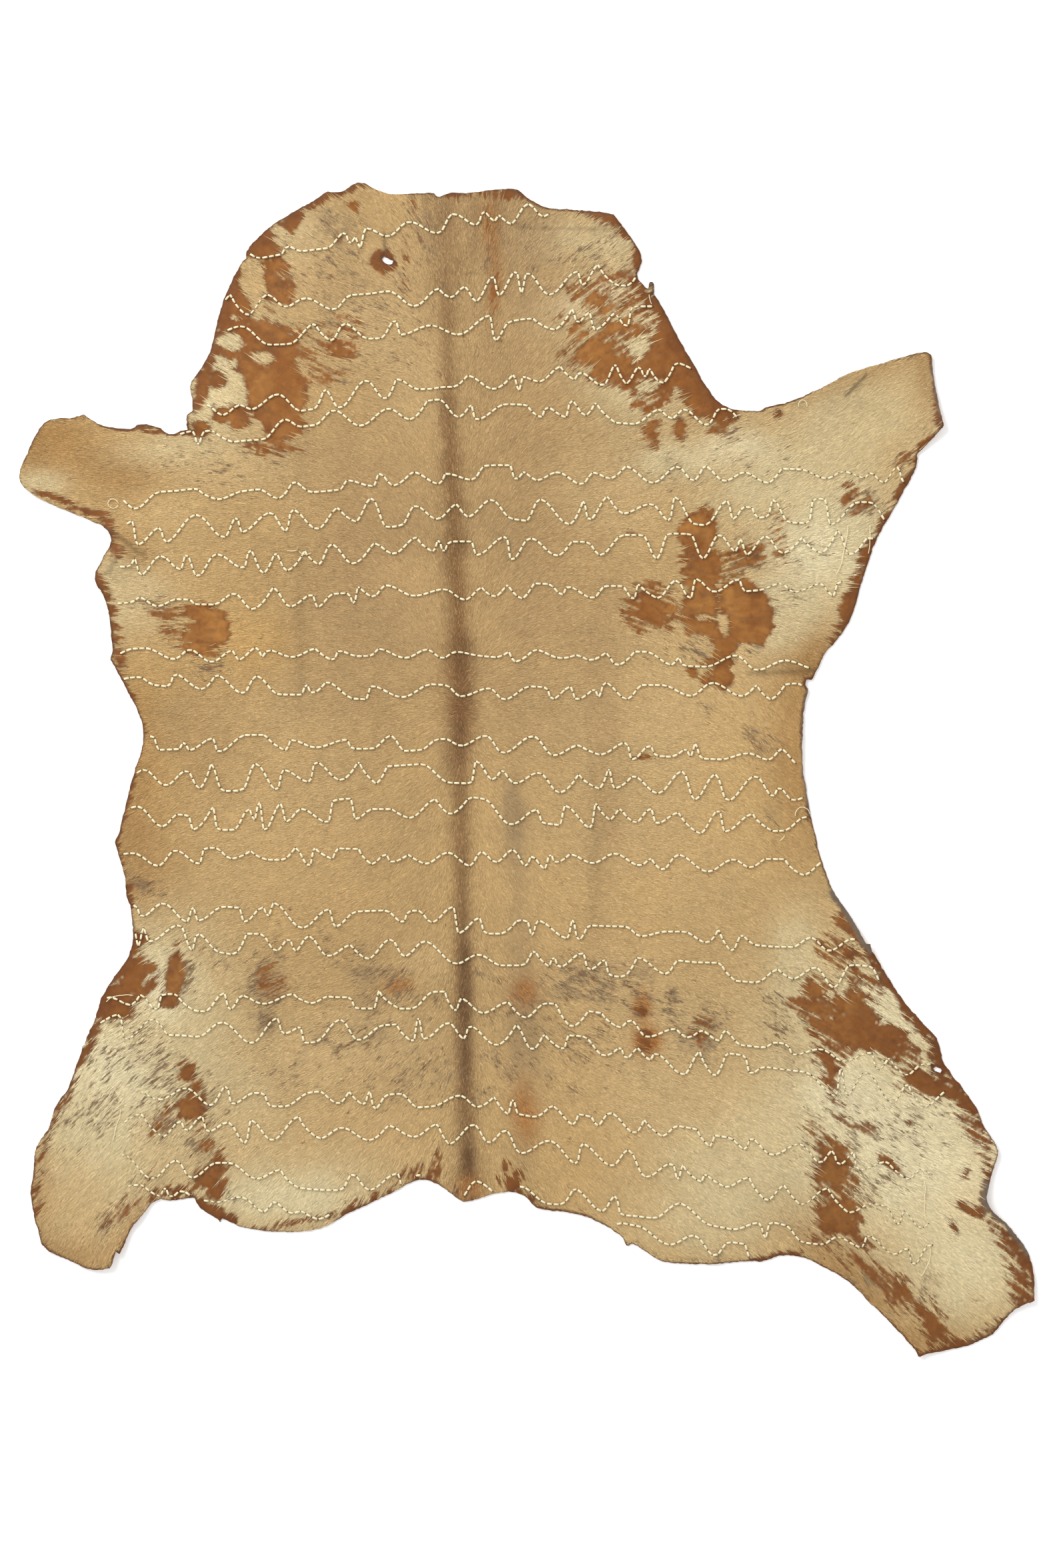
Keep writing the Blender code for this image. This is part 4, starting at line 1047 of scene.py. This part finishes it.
# Each blade has its own tone. Some are darker or lighter than the rest, most of all on the stripe, and where
# the hair is thin most of them are grey-brown.
tone = lock_tone[lock] * (1.0 + growth.normal(0.0, 0.10, blades))
odd = growth.uniform(0.0, 1.0, blades)
back_mix = read_chart(stripe, root_x, root_y)
tone *= np.where(odd < 0.05 + 0.10 * back_mix, 0.72, 1.0)
tone *= np.where(odd > 0.95 - 0.16 * back_mix, 1.0 + 0.15 + 0.6 * back_mix, 1.0)
dusky = growth.uniform(0.0, 1.0, blades) < 0.85 * smooth(0.12, 0.70, read_chart(thin, root_x, root_y))
dusky_dye = SMUDGE + (HAZE - SMUDGE) * growth.uniform(0.2, 1.5, blades)[:, None]
blade_dye = np.where(dusky[:, None], dusky_dye, read_chart(coat_dye, root_x, root_y)) * tone[:, None]

coat_hair, tree, shader = finish("coat hair", 0.62, 0.25)
tint_in = node(tree, "Attribute", (-700, 200), attribute_name="tint")
where = node(tree, "TexCoord", (-900, -50))
strand = node(tree, "TexNoise", (-700, -50), {"Scale": 1300.0, "Detail": 2.0})
uneven = node(tree, "MapRange", (-500, -50), {"To Min": 0.86, "To Max": 1.14})
tinted = node(tree, "VectorMath", (-300, 150), operation="SCALE")
wire(
    tree,
    (where, "Object", strand, "Vector"),
    (strand, "Fac", uneven, "Value"),
    (tint_in, "Color", tinted, 0),
    (uneven, "Result", tinted, "Scale"),
    (tinted, "Vector", shader, "Base Color"),
)


def triangles_mesh(name, corners):
    """A mesh of separate triangles, three points to each."""
    count = len(corners) // 3
    mesh = bpy.data.meshes.new(name)
    mesh.vertices.add(count * 3)
    mesh.vertices.foreach_set("co", corners.astype(np.float32).ravel())
    mesh.loops.add(count * 3)
    mesh.loops.foreach_set("vertex_index", np.arange(count * 3, dtype=np.int32))
    mesh.polygons.add(count)
    mesh.polygons.foreach_set("loop_start", np.arange(0, count * 3, 3, dtype=np.int32))
    mesh.update()
    return mesh


def texture_map(mesh, colours):
    """A place of its own for each blade on a square map, with like colours side by side."""
    count = len(colours)
    side = math.ceil(math.sqrt(count))
    order = np.lexsort((colours[:, 0] - colours[:, 2], np.round(colours.sum(axis=1) * 40)))
    cell = np.empty(count, np.int64)
    cell[order] = np.arange(count)
    row, column = cell // side, cell % side
    column = np.where(row % 2 == 0, column, side - 1 - column)
    corner = np.array(((0.06, 0.10), (0.94, 0.10), (0.50, 0.92)))
    places = (np.stack((column, row), axis=1)[:, None, :] + corner[None]) / side
    mesh.uv_layers.new(name="OFBake").data.foreach_set("uv", places.astype(np.float32).ravel())


order = np.argsort(-root_y, kind="stable")
for name, members in zip(COAT_PIECES, np.array_split(order, len(COAT_PIECES))):
    corners = np.stack((left[members], right[members], tip[members]), axis=1).reshape(-1, 3)
    mesh = triangles_mesh(name, corners)
    shaded = blade_dye[members][:, None, :] * np.array((ROOT_SHADE, ROOT_SHADE, TIP_SHADE))[None, :, None]
    colours = np.concatenate((np.clip(shaded, 0.0, 1.0), np.ones((len(members), 3, 1))), axis=2)
    mesh.attributes.new("tint", "FLOAT_COLOR", "POINT").data.foreach_set("color", colours.ravel())
    texture_map(mesh, blade_dye[members])
    mesh.materials.append(coat_hair)
    piece = put_in_room(name, mesh)
    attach(piece, "root")

# The stitching: rows of heavy cream running stitch made by machine across the skin from edge to edge, in
# loose uneven waves. Each stitch is a plump loop of thread between two needle holes.
STITCH_PITCH, STITCH_LONG, STITCH_WIDE = 0.0059, 0.0050, 0.0021
STITCH_PROUD, STITCH_SUNK = 0.0019, 0.0010
STITCH_HIGH, STITCH_CROWN, STITCH_CLEAR = 0.0008, 0.0004, 0.0016
SUNK_THINNER, SUNK_SHORTER = 0.30, 0.48
SHAGGY_FROM, SHAGGY_FULL = 1.30, 1.60
ROUND, SHARP, STEEP, FLAT = range(4)
KIND_SHARES, STEEP_LONG = (0.46, 0.18, 0.20, 0.16), 0.0045
Row = namedtuple("Row", "x1 y1 x2 y2 x3 y3 swing")
ROWS = [Row(*row) for row in (
    (367, 388, 705, 330, 825, 314, 12), (338, 460, 690, 436, 955, 408, 17),
    (341, 500, 705, 494, 990, 468, 17), (310, 617, 670, 575, 1040, 555, 15),
    (270, 655, 690, 612, 1110, 625, 14), (185, 757, 705, 712, 1370, 712, 12),
    (190, 800, 700, 760, 1335, 775, 20), (180, 850, 690, 820, 1330, 815, 19),
    (175, 905, 700, 888, 1270, 880, 13), (180, 985, 700, 980, 1225, 998, 10),
    (185, 1020, 690, 1040, 1205, 1038, 13), (215, 1120, 700, 1112, 1205, 1138, 12),
    (205, 1170, 700, 1158, 1208, 1192, 19), (180, 1230, 690, 1216, 1222, 1236, 18),
    (175, 1285, 700, 1285, 1240, 1302, 12), (190, 1365, 700, 1380, 1305, 1425, 16),
    (195, 1400, 690, 1436, 1325, 1466, 17), (160, 1500, 705, 1502, 1405, 1605, 13),
    (150, 1540, 705, 1548, 1425, 1645, 18), (210, 1645, 705, 1648, 1400, 1762, 14),
    (185, 1690, 705, 1700, 1400, 1832, 18), (180, 1752, 690, 1776, 1402, 1884, 17),
    (190, 1782, 340, 1800, 500, 1826, 8), (925, 1845, 1020, 1862, 1130, 1882, 12),
)]
sewing = np.random.default_rng(81)


def wavy_row(row):
    """A row's path: a slightly bent line with uneven waves, some round, some sharp, some flat."""
    (x1, y1), (x2, y2), (x3, y3) = on_skin(row.x1, row.y1), on_skin(row.x2, row.y2), on_skin(row.x3, row.y3)
    across = np.arange(x1, x3, 0.0004)
    bend = 0.03 * (x3 - x1)
    line = sum(np.interp(across + shift, (x1, x2, x3), (y1, y2, y3)) for shift in (-bend, 0.0, bend)) / 3
    height = np.zeros(len(across))
    start, level, side = x1 - 0.01, 0.0, 1.0
    swing = row.swing * PIXEL
    while start < x3:
        kind = sewing.choice(len(KIND_SHARES), p=KIND_SHARES)
        round_long, sharp_long = sewing.uniform(0.010, 0.028), sewing.uniform(0.008, 0.018)
        flat_long = sewing.uniform(0.008, 0.020)
        length = {ROUND: round_long, SHARP: sharp_long, STEEP: STEEP_LONG, FLAT: flat_long}[kind]
        aim = side * swing * sewing.uniform(0.25, 1.25)
        if kind == FLAT:
            aim = level + swing * sewing.uniform(-0.12, 0.12)
        part = np.clip((across - start) / length, 0.0, 1.0)
        round_step = (1.0 - np.cos(np.pi * part)) / 2
        sharp_step = part ** (1.7 if side > 0 else 0.6)
        step = {ROUND: round_step, SHARP: sharp_step, STEEP: smooth(0.0, 1.0, part), FLAT: part}[kind]
        here = (across >= start) & (across < start + length)
        height[here] = (level + (aim - level) * step)[here]
        start, level = start + length, aim
        if kind != FLAT:
            side = -side
    return np.stack((across, line + height), axis=1)


def clear_of_rim(spots):
    """Which places the needle can reach, well inside the cut edge."""
    return from_rim(*spots.T) > STITCH_CLEAR


stitches, holes = [], []
for row in ROWS:
    path = wavy_row(row)
    walked = walked_along(path)
    count = int(walked[-1] / STITCH_PITCH)
    starts = np.arange(count) * STITCH_PITCH + sewing.normal(0.0, 0.00015, count)
    ends = starts + STITCH_LONG * sewing.uniform(0.93, 1.05, count)
    hole_at = starts + (ends - starts + STITCH_PITCH) / 2
    first, last, hole = (on_path(path, walked, spots) for spots in (starts, ends, hole_at))
    stitches.append(np.stack((first, last), axis=1)[clear_of_rim(first) & clear_of_rim(last)])
    holes.append(hole[clear_of_rim(hole)])
stitches, holes = np.concatenate(stitches), np.concatenate(holes)
middles = stitches.mean(axis=1)
long_here = read_chart(length_chart, *middles.T)
shaggy = smooth(SHAGGY_FROM, SHAGGY_FULL, long_here + sewing.normal(0.0, 0.08, len(middles)))
shaggy *= 1.0 - read_chart(bare, *middles.T)

SIDES = 5
ALONG = (0.07, 0.50, 0.93)
FATNESS = (0.86, 1.0, 0.86)
points, faces = [], []
for (start, end), sunk in zip(stitches, shaggy):
    run = end - start
    length = np.hypot(*run)
    step = run / length
    aside = np.array((-step[1], step[0]))
    half_wide = STITCH_WIDE / 2 * (1.0 - SUNK_THINNER * sunk) * sewing.uniform(0.9, 1.1)
    middle = (start + end) / 2
    start, run = start + SUNK_SHORTER / 2 * sunk * run, run * (1.0 - SUNK_SHORTER * sunk)
    end = start + run
    level = float(grain_height(*middle[:, None])[0]) + STITCH_PROUD - STITCH_SUNK * sunk
    first = len(points)
    points.append((*start, level - STITCH_HIGH))
    for part, fat in zip(ALONG, FATNESS):
        centre = start + run * part
        for k in range(SIDES):
            angle = math.tau * (k + 0.5) / SIDES + 0.35 * part
            out = half_wide * fat * math.cos(angle)
            up = STITCH_HIGH * fat * math.sin(angle) - STITCH_CROWN * abs(part - 0.5)
            points.append((*(centre + aside * out), level + up))
    points.append((*end, level - STITCH_HIGH))
    last = first + 1 + SIDES * len(ALONG)
    for k in range(SIDES):
        after = (k + 1) % SIDES
        faces.append((first, first + 1 + after, first + 1 + k))
        for ring in range(len(ALONG) - 1):
            a, b = first + 1 + ring * SIDES, first + 1 + (ring + 1) * SIDES
            faces.append((a + k, a + after, b + after, b + k))
        faces.append((last, last - SIDES + k, last - SIDES + after))
cream_thread, tree, shader, ply = mottled(
    "cream thread", 0.55, 0.35, (900.0, 3.0, 0.25, 0.65), dye(226, 210, 166), dye(243, 233, 199)
)
raised(tree, shader, ply, "Noise", 0.4, 0.0002)
stitch_rows = put_in_room("stitch_rows", smooth_mesh("stitch_rows", points, faces, cream_thread))
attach(stitch_rows, "root")

# Loose ends: tails and loops of the same thread where some rows stop, and one small knot.
Tail = namedtuple("Tail", "x y heading long curl")
TAILS = [Tail(*row) for row in (
    (178, 757, 100, 0.026, 330), (447, 824, 205, 0.010, -50), (448, 826, 310, 0.012, 60),
    (446, 823, 20, 0.011, 1100), (1254, 864, 62, 0.046, 16), (974, 440, -95, 0.010, 40),
    (1098, 628, 40, 0.009, -30), (1200, 612, 130, 0.018, -220), (1386, 1770, -76, 0.030, -30),
    (1394, 1868, -74, 0.030, -36), (158, 1504, 38, 0.026, -60), (181, 1662, -92, 0.030, 8),
    (1302, 832, 66, 0.026, 14), (1194, 1226, 110, 0.022, -190), (1168, 1262, 20, 0.008, 40),
)]
TAIL_STEP, TAIL_HALF, TAIL_SIDES = 0.0011, 0.00032, 5
TAIL_PROUD, TAIL_WAVE, TAIL_CLEAR = 0.0019, 0.0003, 0.0004
points, faces = [], []
for tail in TAILS:
    count = round(tail.long / TAIL_STEP)
    wander = np.cumsum(sewing.normal(0.0, 4.0, count))
    turns = np.radians(tail.heading + tail.curl * np.arange(count) / count + wander)
    x, y = on_skin(tail.x, tail.y)
    x, y = x + np.cumsum(np.cos(turns)) * TAIL_STEP, y + np.cumsum(np.sin(turns)) * TAIL_STEP
    left_skin = np.flatnonzero(from_rim(x, y) < TAIL_CLEAR)
    if len(left_skin):
        count = int(left_skin[0])
    levels = grain_height(x, y) + TAIL_PROUD + TAIL_WAVE * np.sin(np.arange(len(x)) * 0.55)
    first = len(points)
    for k in range(count):
        for side in range(TAIL_SIDES):
            angle = math.tau * side / TAIL_SIDES
            out, up = TAIL_HALF * math.cos(angle), TAIL_HALF * math.sin(angle)
            points.append((x[k] - out * math.sin(turns[k]), y[k] + out * math.cos(turns[k]), levels[k] + up))
    for k in range(count - 1):
        for side in range(TAIL_SIDES):
            a, b = first + k * TAIL_SIDES, first + (k + 1) * TAIL_SIDES
            after = (side + 1) % TAIL_SIDES
            faces.append((a + side, b + side, b + after, a + after))
    if count > 1:
        faces.append(tuple(first + side for side in range(TAIL_SIDES)))
        faces.append(tuple(first + (count - 1) * TAIL_SIDES + side for side in reversed(range(TAIL_SIDES))))
loose_ends = put_in_room("loose_ends", smooth_mesh("loose_ends", points, faces, cream_thread))
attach(loose_ends, "root")

# The needle holes between the stitches, punched by a thick needle: small pits painted dark for the shade
# inside them, lying just above the hair.
HOLE_SIDES, HOLE_HALF, HOLE_DEEP = 6, 0.0005, 0.0007
HOLE_PROUD, HOLE_SUNK = 0.0016, 0.0004
ring = math.tau * np.arange(HOLE_SIDES) / HOLE_SIDES
hole_shaggy = smooth(SHAGGY_FROM, SHAGGY_FULL, read_chart(length_chart, *holes.T))
levels = grain_height(*holes.T) + HOLE_PROUD - HOLE_SUNK * hole_shaggy
points, faces = [], []
for (x, y), level in zip(holes, levels):
    first = len(points)
    size = HOLE_HALF * sewing.uniform(0.75, 1.15)
    points.append((x, y, level - HOLE_DEEP))
    for angle in ring:
        points.append((x + size * math.cos(angle), y + size * math.sin(angle), level))
    faces += [(first, first + 1 + k, first + 1 + (k + 1) % HOLE_SIDES) for k in range(HOLE_SIDES)]
# The pits' dark colour is painted shade.
hole_shade, *_ = mottled("needle pit", 0.9, 0.1, (700.0, 2.0, 0.0, 1.0), dye(44, 34, 22), dye(84, 66, 44))
needle_holes = put_in_room("needle_holes", smooth_mesh("needle_holes", points, faces, hole_shade))
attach(needle_holes, "root")
